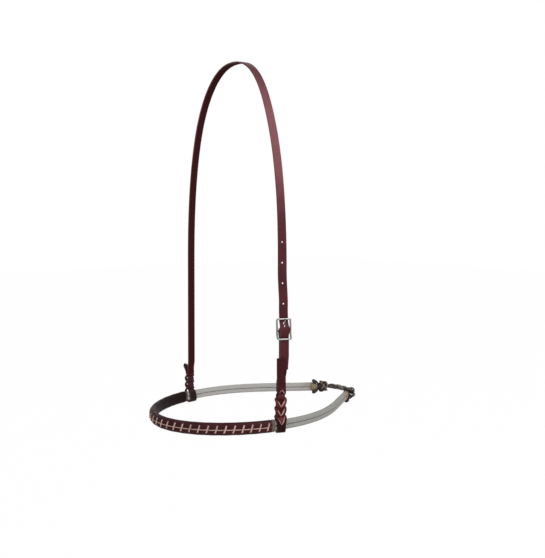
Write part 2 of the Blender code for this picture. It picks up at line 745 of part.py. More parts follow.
def frame_outline():
    """Points round the buckle frame as forward and up, rounded at the corners."""
    bottom, _, top = buckle_heights()
    half = BUCKLE_INSIDE_WIDTH / 2 + BAR_RADIUS
    points = []
    corners = [(1, top, 0), (-1, top, 1), (-1, bottom, 2), (1, bottom, 3)]
    for side, level, quarter in corners:
        inward = -1 if level == top else 1
        centre_x = side * (half - BUCKLE_CORNER_RADIUS)
        centre_z = level + inward * BUCKLE_CORNER_RADIUS
        for i in range(CORNER_POINTS + 1):
            turn = math.pi / 2 * (quarter + i / CORNER_POINTS)
            points.append((centre_x + BUCKLE_CORNER_RADIUS * math.cos(turn),
                           centre_z + BUCKLE_CORNER_RADIUS * math.sin(turn)))
        if quarter in (1, 3):
            ends = (top - BUCKLE_CORNER_RADIUS, bottom + BUCKLE_CORNER_RADIUS)
            start, end = ends if quarter == 1 else ends[::-1]
            points += [(side * half, start + (end - start) * i / FRAME_SIDE_POINTS)
                       for i in range(1, FRAME_SIDE_POINTS)]
    return points


def frame_bow(height):
    """Outward offset of the buckle's frame, bowed so that its middle lies close to the cheek."""
    bottom, centre, top = buckle_heights()
    span = (top - centre) if height > centre else (centre - bottom)
    share = min(abs(height - centre) / span, 1.0)
    return -CENTRE_BAR_IN + (END_BARS_OUT + CENTRE_BAR_IN) * share ** 2


def build_buckle_frame(group, cutters):
    """Bowed three-bar frame: a rounded ring of round wire with a bar across it."""
    points = [cheek_point(1, frame_bow(z), z, x + crown_forward(z)) for x, z in frame_outline()]
    ring = add_object("buckle_frame", tube_curve("buckle_frame", points, BAR_RADIUS, 3, True),
                      STEEL, group)
    ring = curve_to_mesh(ring)
    half = BUCKLE_INSIDE_WIDTH / 2 + BAR_RADIUS
    centre = -CENTRE_BAR_DROP
    ends = [cheek_point(1, -CENTRE_BAR_IN, centre, x - CENTRE_BAR_BACK) for x in (-half, half)]
    bm = bmesh.new()
    bmesh.ops.create_cone(bm, cap_ends=True, segments=WIRE_SIDES, radius1=BAR_RADIUS,
                          radius2=BAR_RADIUS, depth=half * 2)
    turn = Vector((0.0, 0.0, 1.0)).rotation_difference(ends[1] - ends[0]).to_matrix().to_4x4()
    place = Matrix.Translation((ends[0] + ends[1]) / 2) @ turn
    bmesh.ops.transform(bm, matrix=place, verts=bm.verts)
    add_boolean(ring, add_cutter("centre_bar", bm, cutters), "UNION")


def build_buckle_tongue(group):
    """Bent wire: an eye round the centre bar and a shank that lies on the top bar."""
    pivot, start, direction, reach, lean = tongue_line()
    first = math.pi - lean
    flat = []
    for i in range(EYE_POINTS + 1):
        turn = first + TONGUE_EYE_SWEEP * (EYE_POINTS - i) / EYE_POINTS
        flat.append(pivot + Vector((math.cos(turn), math.sin(turn))) * reach)
    top = buckle_heights()[2]
    shank = (top - start.y) / direction.y + TONGUE_OVERHANG
    flat += [start + direction * (shank * i / SHANK_POINTS) for i in range(1, SHANK_POINTS + 1)]
    points = [cheek_point(1, point.x, point.y, -CENTRE_BAR_BACK) for point in flat]
    curve = tube_curve("buckle_tongue", points, TONGUE_RADIUS, 2)
    add_object("buckle_tongue", curve, STEEL, group)


# Noseband plan and ropes

def nose_route():
    """Plan of the noseband, from the near rear end round the front to the far rear end."""
    level = -NOSEBAND_DROP
    quarter = []
    apex = Vector((FRONT_REACH, 0.0, level))
    side = Vector((0.0, HALF_SPREAD, level))
    back = Vector((-REAR_REACH, KNOT_HALF_GAP, level))
    ahead = Vector((math.cos(CHEEK_YAW), -math.sin(CHEEK_YAW), 0.0))
    inward = Vector((math.cos(REAR_ANGLE), math.sin(REAR_ANGLE), 0.0))
    quarter += bezier(back, back + inward * (REAR_REACH * REAR_END_HANDLE_SHARE),
                      side - ahead * (REAR_REACH * REAR_SIDE_HANDLE_SHARE), side, ROUTE_POINTS)
    apex_handle = Vector((0.0, HALF_SPREAD * FRONT_HANDLE_SHARE, 0.0))
    quarter += bezier(side, side + ahead * (FRONT_REACH * SIDE_HANDLE_SHARE),
                      apex + apex_handle, apex, ROUTE_POINTS)[1:]
    mirrored = [Vector((p.x, -p.y, p.z)) for p in reversed(quarter[:-1])]
    return Route(quarter + mirrored)


def loop_distance(route):
    """Distance along the route where the near loop holds the ropes, at its first curve's end."""
    return route.marks[ROUTE_POINTS]


def end_length():
    """How far the ropes stop short of the route's ends, for the cap and the collar."""
    return END_GAP + END_CAP_LENGTH + END_GAP + COLLAR_TIP_RADIUS * 2


def build_ropes(group, route):
    """Two ropes, one above the other."""
    for name, lift in (("upper_rope", ROPE_LIFT), ("lower_rope", -ROPE_LIFT)):
        start = end_length()
        run = route.length - 2 * start
        points = []
        for i in range(ROPE_POINTS + 1):
            point, _ = route.at(start + run * i / ROPE_POINTS)
            points.append(point + Vector((0.0, 0.0, lift)))
        add_object(name, tube_curve(name, points, ROPE_RADIUS, 2), ROPE_GREY, group)


# Laced cover

def cover_section(share, grow):
    """Point of the cover's outline as out and up, for a share of the way round from the seam."""
    radius = ROPE_RADIUS + COVER_CLEARANCE + COVER_WALL / 2 + grow
    straight = 2 * ROPE_LIFT
    total = 2 * straight + 2 * math.pi * radius
    distance = (share * total) % total
    if distance < straight:
        return radius, straight / 2 - distance
    distance -= straight
    if distance < math.pi * radius:
        turn = distance / radius
        return radius * math.cos(turn), -straight / 2 - radius * math.sin(turn)
    distance -= math.pi * radius
    if distance < straight:
        return -radius, -straight / 2 + distance
    turn = (distance - straight) / radius
    return -radius * math.cos(turn), straight / 2 + radius * math.sin(turn)


def section_place(route, distance, out_by, up_by):
    """World point beside the route, out from the loop and up."""
    point, tangent = route.at(distance)
    out = Vector((-tangent.y, tangent.x, 0.0))
    return point + out * out_by + Vector((0.0, 0.0, up_by))


def cover_span(route):
    """Start and end of the cover along the route."""
    loop = loop_distance(route)
    return loop + COVER_END_TO_NEAR_LOOP, route.length - loop - COVER_END_TO_FAR_LOOP


def build_nose_cover(group, route):
    """Leather sleeve round both ropes, open along its laced seam."""
    start, end = cover_span(route)
    radius = ROPE_RADIUS + COVER_CLEARANCE + COVER_WALL / 2
    total = 4 * ROPE_LIFT + 2 * math.pi * radius
    slit = COVER_SEAM_OPENING / total
    bm = bmesh.new()
    bmesh.ops.create_grid(bm, x_segments=COVER_COLUMNS, y_segments=COVER_ROWS, size=1.0)
    for vert in bm.verts:
        share = COVER_SEAM_SHARE + slit / 2 + (vert.co.x + 1.0) / 2 * (1.0 - slit)
        out_by, up_by = cover_section(share, 0.0)
        distance = start + (end - start) * (vert.co.y + 1.0) / 2
        vert.co = section_place(route, distance, out_by, up_by)
    bmesh.ops.recalc_face_normals(bm, faces=bm.faces)
    mesh = bpy.data.meshes.new("nose_cover")
    bm.to_mesh(mesh)
    bm.free()
    cover = add_object("nose_cover", mesh, COVER_LEATHER, group)
    wall = cover.modifiers.new("wall", "SOLIDIFY")
    wall.thickness = COVER_WALL
    wall.offset = 0.0
    wall.use_even_offset = True


def build_nose_lacing(group, cutters, route):
    """Lace along the seam with a slanted stitch at each step, as one piece."""
    start, end = cover_span(route)
    grow = COVER_WALL / 2 + LACE_GAP + LACE_RADIUS
    margin = LACE_SLANT + LACE_RADIUS * 2
    begin = start + margin
    run = end - start - 2 * margin
    seam = []
    for i in range(LACE_STITCHES * 2 - 1):
        distance = begin + run * i / (LACE_STITCHES * 2 - 2)
        seam.append(section_place(route, distance, *cover_section(COVER_SEAM_SHARE, grow)))
    lacing = add_object("nose_lacing", tube_curve("nose_lacing", seam, LACE_RADIUS, 1),
                        RAWHIDE, group)
    lacing = curve_to_mesh(lacing)
    stitches = bmesh.new()
    for k in range(LACE_STITCHES):
        middle = begin + run * k / (LACE_STITCHES - 1)
        points = []
        for i in range(STITCH_POINTS):
            t = i / (STITCH_POINTS - 1)
            share = stitch_share(t)
            distance = middle + LACE_SLANT * (t - 0.5)
            points.append(section_place(route, distance, *cover_section(share, grow)))
        curve = tube_curve("stitch", points, LACE_RADIUS, 1)
        stitch = bpy.data.objects.new("stitch", curve)
        cutters.objects.link(stitch)
        solid = curve_to_mesh(stitch)
        stitches.from_mesh(solid.data)
        bpy.data.objects.remove(solid, do_unlink=True)
    add_boolean(lacing, add_cutter("stitches", stitches, cutters), "UNION")


def stitch_share(t):
    """Share round the section of a stitch, from its upper end to its lower one."""
    radius = ROPE_RADIUS + COVER_CLEARANCE + COVER_WALL / 2
    total = 4 * ROPE_LIFT + 2 * math.pi * radius
    face = 2 * ROPE_LIFT / total
    cap = math.pi * radius / total
    top = -cap * (1.0 - STITCH_TOP_SHARE) / 2
    bottom = face + cap * (STITCH_BOTTOM_SHARE - 0.5)
    return (top + (bottom - top) * t) % 1.0


def pair_turns(route, middle):
    """Unbroken winding of cord round both ropes, centred on a distance along the route."""
    grow = LACE_GAP + BINDING_RADIUS - COVER_CLEARANCE - COVER_WALL / 2
    points = []
    for i in range(TURN_POINTS * BINDING_TURNS + 1):
        turn = i / TURN_POINTS
        out_by, up_by = cover_section((turn + 0.5) % 1.0, grow)
        distance = middle + BINDING_PITCH * (turn - BINDING_TURNS / 2)
        points.append(section_place(route, distance, out_by, up_by))
    return points


def least_self_gap(points, radius, skip, cyclic=False):
    """Smallest clear distance between stretches of one tube that aren't neighbours."""
    best = math.inf
    count = len(points)
    for i, first in enumerate(points):
        for j in range(i + skip, count):
            if cyclic and count - (j - i) < skip:
                continue
            best = min(best, (points[j] - first).length - 2 * radius)
    return best


def build_cover_bindings(group, route):
    """Two turns of cord at each end of the cover."""
    start, end = cover_span(route)
    half = BINDING_PITCH * BINDING_TURNS / 2 + BINDING_RADIUS + BINDING_TO_COVER
    for name, middle in (("near_cover_binding", start - half), ("far_cover_binding", end + half)):
        points = pair_turns(route, middle)
        gap = least_self_gap(points, BINDING_RADIUS, TURN_POINTS // 2)
        print(name, "least gap to itself in mm:", round(gap / MM, 2))
        curve = tube_curve(name, points, BINDING_RADIUS, 1)
        add_object(name, curve, BINDING_CORD, group)


# Rear ends and the link between them

def end_frame(side):
    """Matrix at the route's end: local X runs on past the end, local Z is up."""
    back = Vector((-math.cos(REAR_ANGLE), -side * math.sin(REAR_ANGLE), 0.0))
    up = Vector((0.0, 0.0, 1.0))
    frame = Matrix((back, up.cross(back), up)).transposed().to_4x4()
    end = Vector((-REAR_REACH, side * KNOT_HALF_GAP, -NOSEBAND_DROP))
    return Matrix.Translation(end) @ frame


def cap_outline(turn):
    """Place on the rounded end's outline, along and up, for a turn from its base to its tip."""
    along = END_CAP_LENGTH * max(math.sin(turn), 0.0) ** END_CAP_ROUNDING
    up = PAIR_HALF_HEIGHT * max(math.cos(turn), 0.0) ** END_CAP_ROUNDING
    return Vector((along, up))


def build_end_cap(name, side, group):
    """Rounded tan end that closes both ropes."""
    bm = bmesh.new()
    bmesh.ops.create_uvsphere(bm, u_segments=CAP_SIDES, v_segments=CAP_SIDES // 2, radius=1.0)
    cut = bmesh.ops.bisect_plane(bm, geom=bm.verts[:] + bm.edges[:] + bm.faces[:],
                                 plane_co=(0, 0, 0), plane_no=(1, 0, 0), clear_inner=True)
    edges = [item for item in cut["geom_cut"] if isinstance(item, bmesh.types.BMEdge)]
    bmesh.ops.contextual_create(bm, geom=edges)
    for vert in bm.verts:
        turn = math.asin(min(max(vert.co.x, 0.0), 1.0))
        along, up = cap_outline(turn)
        spread = up / PAIR_HALF_HEIGHT / max(math.cos(turn), NEARLY_ZERO)
        vert.co = Vector((along, vert.co.y * spread * ROPE_RADIUS,
                          vert.co.z * spread * PAIR_HALF_HEIGHT))
    shift = Matrix.Translation((END_GAP - end_length(), 0.0, 0.0))
    bmesh.ops.transform(bm, matrix=end_frame(side) @ shift, verts=bm.verts)
    bmesh.ops.recalc_face_normals(bm, faces=bm.faces)
    mesh = bpy.data.meshes.new(name)
    bm.to_mesh(mesh)
    bm.free()
    add_object(name, mesh, TAN_END, group)


def build_end_collar(name, side, group):
    """Dark leather band that hugs the rope ends over the top, round the end and below."""
    base = END_GAP - end_length()
    points = []
    radii = []
    for i in range(COLLAR_POINTS + 1):
        turn = COLLAR_START + (math.pi / 2 - COLLAR_START) * i / COLLAR_POINTS
        share = math.sin(turn) ** 2
        radius = COLLAR_RADIUS + (COLLAR_TIP_RADIUS - COLLAR_RADIUS) * share
        step = cap_outline(turn + NEARLY_ZERO) - cap_outline(turn - NEARLY_ZERO)
        facing = Vector((-step.y, step.x)).normalized() if i < COLLAR_POINTS else Vector((1.0, 0.0))
        place = cap_outline(turn) + facing * (END_GAP + radius)
        points.append(Vector((base + place.x, 0.0, place.y)))
        radii.append(radius)
    points += [Vector((point.x, 0.0, -point.z)) for point in points[-2::-1]]
    radii += radii[-2::-1]
    curve = tube_curve(name, points, COLLAR_RADIUS, 2, radii=radii)
    collar = add_object(name, curve, DARK_LACE, group)
    widen = Matrix.Diagonal((1.0, COLLAR_WIDTH_SHARE, 1.0, 1.0))
    collar.matrix_world = end_frame(side) @ widen


def link_outer_radius():
    """Outer radius of the twisted link."""
    return link_twist_radius() + LINK_STRAND_RADIUS


def link_twist_radius():
    """Distance of each strand's middle from the link's middle."""
    spacing = 2 * LINK_STRAND_RADIUS + LAYER_GAP
    return spacing / (2 * math.sin(math.pi / LINK_STRANDS))


def build_turks_head(name, side, group):
    """Woven knot round the root of the link, one unbroken lace over and under itself."""
    sway = KNOT_LACE_RADIUS + WEAVE_GAP
    middle = link_outer_radius() + LACE_GAP + KNOT_LACE_RADIUS + sway
    length = TURKS_HEAD_HALF_LENGTH
    start = END_GAP + KNOT_LACE_RADIUS + length
    count = TURN_POINTS * TURKS_HEAD_LEADS
    points = []
    for i in range(count):
        turn = 2 * math.pi * TURKS_HEAD_LEADS * i / count
        phase = TURKS_HEAD_BIGHTS * turn / TURKS_HEAD_LEADS
        radius = middle + sway * math.sin(2 * phase)
        points.append(Vector((start + length * math.sin(phase), radius * math.cos(turn),
                              radius * math.sin(turn))))
    gap = least_self_gap(points, KNOT_LACE_RADIUS, TURN_POINTS // 4, cyclic=True)
    print(name, "least gap to itself in mm:", round(gap / MM, 2))
    curve = tube_curve(name, points, KNOT_LACE_RADIUS, 1, cyclic=True)
    knot = add_object(name, curve, DARK_LACE, group)
    knot.matrix_world = end_frame(side)


def link_route():
    """Middle line of the link, from the far end to the near one."""
    lead = END_GAP + 2 * (TURKS_HEAD_HALF_LENGTH + KNOT_LACE_RADIUS)
    far, near = end_frame(-1), end_frame(1)
    run = [Vector((END_GAP + (lead - END_GAP) * i / LEAD_POINTS, 0.0, 0.0))
           for i in range(LEAD_POINTS)]
    turn_in = Vector((lead, 0.0, 0.0))
    handle = Vector((lead + LINK_HANDLE, 0.0, 0.0))
    bend = bezier(far @ turn_in, far @ handle, near @ handle, near @ turn_in, ROUTE_POINTS)
    return Route([far @ point for point in run] + bend + [near @ point for point in run[::-1]])


def build_link(group):
    """Twisted strands of dark lace that tie the two rear ends together."""
    route = link_route()
    for k in range(LINK_STRANDS):
        points = []
        for i in range(LINK_POINTS + 1):
            share = i / LINK_POINTS
            point, tangent = route.at(route.length * share)
            out = Vector((-tangent.y, tangent.x, 0.0)).normalized()
            turn = 2 * math.pi * (LINK_TWISTS * share + k / LINK_STRANDS)
            offset = out * math.cos(turn) + Vector((0.0, 0.0, 1.0)) * math.sin(turn)
            points.append(point + offset * link_twist_radius())
        name = f"link_strand_{k + 1}"
        add_object(name, tube_curve(name, points, LINK_STRAND_RADIUS, 1), DARK_LACE, group)


def main():
    """Build every piece."""
    clear_scene()
    group = make_collection("bridle_noseband")
    cutters = make_collection("cutters")
    route = nose_route()
    build_crown_strap(group, cutters)
    build_near_cheek_strap(group)
    build_buckle_frame(group, cutters)
    build_buckle_tongue(group)
    build_ropes(group, route)
    build_nose_cover(group, route)
    build_nose_lacing(group, cutters, route)
    build_cover_bindings(group, route)
    for word, side in (("near", 1), ("far", -1)):
        build_end_cap(f"{word}_rope_end", side, group)
        build_end_collar(f"{word}_end_collar", side, group)
        build_turks_head(f"{word}_end_knot", side, group)
    build_link(group)


main()
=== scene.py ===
"""Looks of a rope noseband on a leather hanger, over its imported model."""

import math

import bmesh
import bpy
from bpy.props import (BoolProperty, FloatProperty, FloatVectorProperty, IntProperty,
                       PointerProperty)
from bpy.types import Operator, Panel, PropertyGroup
from mathutils import Matrix, Vector


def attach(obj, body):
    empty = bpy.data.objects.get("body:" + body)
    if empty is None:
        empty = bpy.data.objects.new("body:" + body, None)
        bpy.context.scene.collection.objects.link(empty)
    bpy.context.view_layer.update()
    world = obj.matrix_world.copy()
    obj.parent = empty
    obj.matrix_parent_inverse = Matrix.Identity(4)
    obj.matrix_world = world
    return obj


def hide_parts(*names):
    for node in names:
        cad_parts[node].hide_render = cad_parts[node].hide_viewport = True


bl_info = {
    "name": "Rope Noseband",
    "version": (1, 0, 0),
    "blender": (4, 5, 0),
    "location": "View3D > Sidebar > Noseband",
    "description": "Leather hanger, ropes, laced cover and knots of a bridle noseband",
    "category": "Object",
}

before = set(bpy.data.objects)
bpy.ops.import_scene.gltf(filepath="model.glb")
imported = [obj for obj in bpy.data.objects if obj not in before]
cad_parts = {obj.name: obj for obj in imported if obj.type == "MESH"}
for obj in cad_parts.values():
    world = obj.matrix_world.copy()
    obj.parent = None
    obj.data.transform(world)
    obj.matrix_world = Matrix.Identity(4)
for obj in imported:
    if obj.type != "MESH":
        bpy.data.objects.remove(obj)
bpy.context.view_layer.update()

MM = 0.001
MERGE = 0.002 * MM
STRAP_MERGE = 0.01 * MM
UP = Vector((0.0, 0.0, 1.0))
CORD_SIDES, LACE_SIDES, WIRE_SIDES, BAND_SIDES = 12, 16, 20, 24
TURN_ROWS = 48
HALVINGS = 40
LEAST_COSINE = 0.001

# Run of the two straps: side 1 is the near cheek, side -1 the far one
CHEEK_YAW = math.radians(7.0)
NEAR_TURN = math.radians(15.0)
NEAR_TURN_TOP = -190.0 * MM
NEAR_TURN_BOTTOM = -320.0 * MM
HALF_SPREAD = 111.8 * MM
ARCH_HEIGHT = 301.0 * MM
ARCH_EXPONENT = 2.32
ARCH_ROWS = 150
CROWN_LEAN = 5.5 * MM
CROWN_LEAN_RUN = 100.0 * MM
NOSEBAND_DROP = 514.5 * MM
CENTRE_BAR_DROP = 384.0 * MM
TAB_RISE = 93.5 * MM
TAIL_END_RISE = 76.5 * MM
FOLD_END_RISE = 82.0 * MM
NEAR_LOOP_FORWARD = 2.8 * MM
NEAR_KNOT_TOP_FORWARD = 1.4 * MM
TAB_FORWARD = 1.8 * MM
FAR_KNOT_FORWARD = 3.6 * MM
ABOVE_BUCKLE_BACK = 2.2 * MM
TOP_BAR_BACK = 2.9 * MM
CENTRE_BAR_BACK = 3.6 * MM
TAIL_BACK = 4.6 * MM
TAIL_END_BACK = 3.3 * MM
FORWARD_SHIFT_DROP = 299.9 * MM
LAYER_GAP = 0.35 * MM
STRAP_COLUMNS = 4
SMOOTHING_PASSES = 4
KNOT_STEP = 0.6 * MM
FINE_STEP = 0.8 * MM
STRAP_STEP = 1.5 * MM
TAB_STEP = 3.0 * MM
FAR_CHEEK_STEP = 4.0 * MM
LOOP_BEND_ROWS = 16
FOLD_BEND_ROWS = 20

# Buckle, its tongue and the punched holes
BAR_RADIUS = 1.5 * MM
TOP_BAR_RISE = 17.5 * MM
BOTTOM_BAR_FALL = 11.0 * MM
BUCKLE_INSIDE_WIDTH = 17.2 * MM
BUCKLE_FORWARD = 0.8 * MM
BUCKLE_CORNER_RADIUS = 2.0 * MM
WIRE_RADIUS = 1.3 * MM
SIDE_BOW = 1.2 * MM
CRANK_RUN = 3.2 * MM
END_BARS_OUT = 1.5 * MM
CENTRE_BAR_IN = 3.2 * MM
BAR_CLEARANCE = 0.3 * MM
FOLD_SPREAD = 1.1 * MM
FOLD_SPREAD_RISE = 2.0 * MM
FOLD_SPREAD_REACH = 1.3
TONGUE_RADIUS = 0.9 * MM
TONGUE_OVERHANG = 2.2 * MM
TONGUE_TIP_ROWS = 1.2
TONGUE_EYE_SWEEP = math.radians(272.0)
TONGUE_SLOT_HALF_WIDTH = 1.35 * MM
TONGUE_HOLE_HALF_LENGTH = 3.8 * MM
TONGUE_HOLE_HALF_WIDTH = 1.5 * MM
TONGUE_HOLE_FALL = 0.6 * MM
HOLE_PITCH = 28.6 * MM
HOLES_ABOVE_TONGUE = 4
ABOVE_TOP_HOLE = 6.0 * MM
HOLE_ROWS_HALF_LENGTH = 4.4 * MM
HOLE_ROWS_MARGIN = 0.7 * MM
HOLE_REACH_SHARE = 0.225
HOLE_REGION = 8.0 * MM
LEAST_HOLE_SQUARENESS = 0.6

# Plan of the noseband and its two ropes
ROPE_RADIUS = 3.4 * MM
ROPE_GAP = 0.3 * MM
TOUCHING_SQUARENESS = 0.5
OPEN_SQUARENESS = 0.95
RIDGE_SHARE = 0.012
FRONT_REACH = 126.0 * MM
REAR_REACH = 208.0 * MM
KNOT_HALF_GAP = 34.4 * MM
REAR_ANGLE = math.radians(27.5)
FRONT_HANDLE_SHARE = 0.53
SIDE_HANDLE_SHARE = 0.506
REAR_SIDE_HANDLE_SHARE = 0.466
REAR_END_HANDLE_SHARE = 0.375
ROUTE_POINTS = 60
ROPE_ROWS = 300
ROPE_LIFT = ROPE_RADIUS + ROPE_GAP / 2
PAIR_HALF_HEIGHT = ROPE_LIFT + ROPE_RADIUS

# Blood knots, loops and the far free end, in heights above the ropes
FIRST_CROSSING = 11.4 * MM
CROSSING_PITCH = 10.3 * MM
NEAR_CROSSING_PITCH = 12.2 * MM
TOP_CROSSING_PITCH = 7.2 * MM
FAR_CROSSINGS = 3
KNOT_DEPTH = 1.95 * MM
WAIST_HALF_WIDTH = 6.1 * MM
PASSING_HALF_WIDTH = 5.2 * MM
EYE_CLEARANCE = 0.1 * MM
EYE_STRAND_WIDTH = 3.3 * MM
KNOT_TOP_RUN = 9.0 * MM
ROPE_CLEARANCE = 0.6 * MM
LOOP_DROP = 0.92 * MM
OUTER_LEG_SLIT = (True, False, True, True)
EYE_FULL_SHARE = 0.08
EYE_LOWER_END_SHARES = (0.90, 1.04, 1.02, 0.30)
EYE_UPPER_END_SHARES = (0.34, 0.34, 0.28, 0.66)
LOBE_SHARES = (1.0, 1.0, 1.0, 0.25)
PASSING_SHARES = (1.0, 1.0, 1.0, 0.84)
SQUEEZE_FULL_SHARE = 0.12
SQUEEZE_END_SHARE = 0.46
LOBE_BULGE = 0.7 * MM
SLIT_LIP = 1.7 * MM
LIP_FULL_SHARE = 0.3
LEAST_SLIT = 0.2 * MM
FRONT_GAIN = 1.6
DRAWN_BELOW = 1.5 * MM
DRAWN_ABOVE_OUTER = 0.5 * MM
DRAWN_ABOVE_INNER = 6.0 * MM
TUCK_DEPTH = 1.5 * MM
TUCK_END_HALF_WIDTH = 2.2 * MM
LOOP_TURN_ROOM = 0.6 * MM
TAIL_RISE = 49.5 * MM
TAIL_STAND_OFF = 11.0 * MM
TAIL_CURL = 1.5
TAIL_NARROWING = 0.3
TAIL_TIP_HALF_WIDTH = 0.6 * MM

# Cover, lacing and bindings
COVER_WALL = 1.4 * MM
COVER_CLEARANCE = 0.4 * MM
COVER_END_TO_NEAR_LOOP = 18.6 * MM
COVER_END_TO_FAR_LOOP = 17.2 * MM
COVER_SEAM_SHARE = 0.08
COVER_SEAM_OPENING = 1.2 * MM
COVER_PULL = 0.22 * MM
COVER_PULL_RUN = 2.2 * MM
COVER_PULL_SHARE = 0.13
COVER_SWELL = 0.10 * MM
COVER_WAVES_ALONG = 310.0
COVER_WAVES_ROUND = 9.0
COVER_ROUNDING = 0.35 * MM
COVER_COLUMNS = 56
COVER_ROWS = 330
COVER_RADIUS = ROPE_RADIUS + COVER_CLEARANCE + COVER_WALL / 2
COVER_ROUND = 4 * ROPE_LIFT + 2 * math.pi * COVER_RADIUS
LACE_SLANT = 3.4 * MM
STITCH_TOP_SHARE = 0.72
STITCH_BOTTOM_SHARE = 0.54
STITCH_MARGIN = 2.0 * MM
STITCH_ROWS = 18
STITCH_DIVE = 1.5 * MM
STITCH_DIVE_SHARE = 0.10
SEAM_ROWS = 12
SEAM_DIVE = 0.7 * MM
SEAM_DIVE_SHARE = 0.20
SEAM_GAP_SHARE = 0.06
SEAM_LIFT_SHARE = 0.7
SEAM_WIDTH_SHARE = 0.62
SEAM_THICKNESS_SHARE = 0.8
BINDING_TO_COVER = 0.35 * MM
BINDING_TURN_GAP = 0.06 * MM
NEAR_BINDING_WIDTH = 6.4 * MM
FAR_BINDING_WIDTH = 5.2 * MM

# Rear ends, their collars and knots, and the link
END_CAP_LENGTH = 12.0 * MM
END_CAP_ROUNDING = 0.75
END_WAIST = 0.06
END_WAIST_SPREAD = 0.18
COLLAR_RADIUS = 2.8 * MM
COLLAR_TIP_RADIUS = 1.1 * MM
COLLAR_WIDTH_SHARE = 1.9
COLLAR_START = math.radians(8.0)
COLLAR_HALF_ROWS = 32
COLLAR_TAPER_ROWS = 3.0
SMALL_TURN = 0.002
END_GAP = 0.4 * MM
TURKS_HEAD_HALF_LENGTH = 4.7 * MM
TURKS_HEAD_LEADS = 3
TURKS_HEAD_BIGHTS = 4
KNOT_LACE_RADIUS = 1.3 * MM
WEAVE_GAP = 0.7 * MM
WEAVE_SHARE = 0.75
# Dark sleeve inside each knot, that stands for the shade in its heart
CORE_OVERHANG = 0.8 * MM
CORE_HALF_THICKNESS = 0.35 * MM
KNOT_ROWS = 432
LINK_STRANDS = 3
LINK_STRAND_RADIUS = 1.5 * MM
LINK_TWISTS = 2.25
LINK_HANDLE = 17.0 * MM
LINK_LEAD_SHORTER = 2.0 * MM
LINK_LEAD_ROWS = 8
LINK_BEND_ROWS = 40
LINK_ROWS = 140
LINK_LACE_SHARES = (1.2, 0.9)
LINK_SWELL = 0.3
LINK_SWELL_START = 0.17
LINK_SWELL_RUN = 0.08

# Where a finish, a painted sheen or a painted shade changes, from a first place to a second one
# Crown strap's grain: a paler band that is part wear and part painted sheen from the lamp above
WORN_AND_SHEEN_HEIGHTS = (-225.0 * MM, -160.0 * MM)
# Near strap: darker towards its loop at the bottom
NEAR_LOOP_DARKENING_HEIGHTS = (-502.0 * MM, -488.0 * MM)
# Crown strap's cut edge: a paler band, part wear and part painted highlight
WORN_AND_HIGHLIGHT_CUT_HEIGHTS = (-160.0 * MM, -60.0 * MM)
# Over the crown that paler band fades back, as the painted sheen does
DARK_CROWN_HEIGHTS = (-15.0 * MM, -75.0 * MM)
# Painted shade on the crown strap's far knot and loop, low down
PAINTED_LOW_SHADE_HEIGHTS = (-450.0 * MM, -470.0 * MM)
# Painted shade on the cover towards its far side
SHADED_ACROSS = (10.0 * MM, -70.0 * MM)
# Painted shade on the ropes towards their near side
PAINTED_NEAR_SHADE_ACROSS = (20.0 * MM, 60.0 * MM)
STAINED_BACK = (-176.0 * MM, -202.0 * MM)

# Where the picture is taken from, in metres
CAMERA_PLACE = (0.7356, 0.9667, -0.2101)
CAMERA_AIM = (0.0, 0.0, -0.25675)
CAMERA_LENS = 52.51
CAMERA_SHIFT = (0.0701, -0.0742)
SENSOR_HEIGHT = 36.0

# Stage: places and sizes of the lamps, and the floor
KEY_PLACE, KEY_SIZE = (-0.42, 1.45, 0.92), 1.2
FILL_PLACE, FILL_SIZE = (1.55, 0.75, 0.35), 1.1
FLOOR_HALF_WIDTH = 6.0
FLOOR_GLOW = 0.985


# Sizes and colours that a user may change

def colour(name, description, value):
    """A colour property."""
    return FloatVectorProperty(name=name, description=description, subtype="COLOR", size=3,
                               min=0.0, max=1.0, default=value)


def length(name, description, value):
    """A length property."""
    return FloatProperty(name=name, description=description, unit="LENGTH", precision=5,
                         min=0.00001, default=value)


class StrapSettings(PropertyGroup):
    """Sizes and colours of the two leather straps."""

    width: length("Width", "Width of the straps", 12.5 * MM)
    thickness: length("Thickness", "Thickness of the straps", 2.2 * MM)
    rounding: length("Edge rounding", "Rounding of the rubbed edges", 0.5 * MM)
    hole_radius: length("Hole radius", "Radius of the punched holes", 1.35 * MM)
    grain: colour("Grain", "Colour of the grain side", (0.064, 0.0110, 0.0150))
    flesh: colour("Flesh", "Colour of the flesh side", (0.031, 0.007, 0.0072))
    knot: colour("Knot", "Colour of the leather drawn through the near knot",
                 (0.088, 0.016, 0.014))
    loop: colour("Loop", "Colour of the near loop round the ropes", (0.018, 0.0042, 0.0036))
    cut: colour("Cut edge", "Colour of the slits' cut edges", (0.52, 0.28, 0.25))
    # Paler crown colour: part worn leather, part painted sheen where the lamp above catches the
    # strap
    worn: colour("Worn crown", "Colour of the worn leather over the crown",
                 (0.155, 0.045, 0.052))


class RopeSettings(PropertyGroup):
    """Looks of the two ropes and their ends."""

    fibre: colour("Fibre", "Colour of the clean rope", (0.345, 0.333, 0.318))
    stain: colour("Stain", "Colour of the stain towards the rear", (0.20, 0.150, 0.095))
    end: colour("End", "Colour of the tan ends", (0.23, 0.165, 0.105))
    ridges: IntProperty(name="Ridges", description="Ridges round a rope", min=4, default=14)


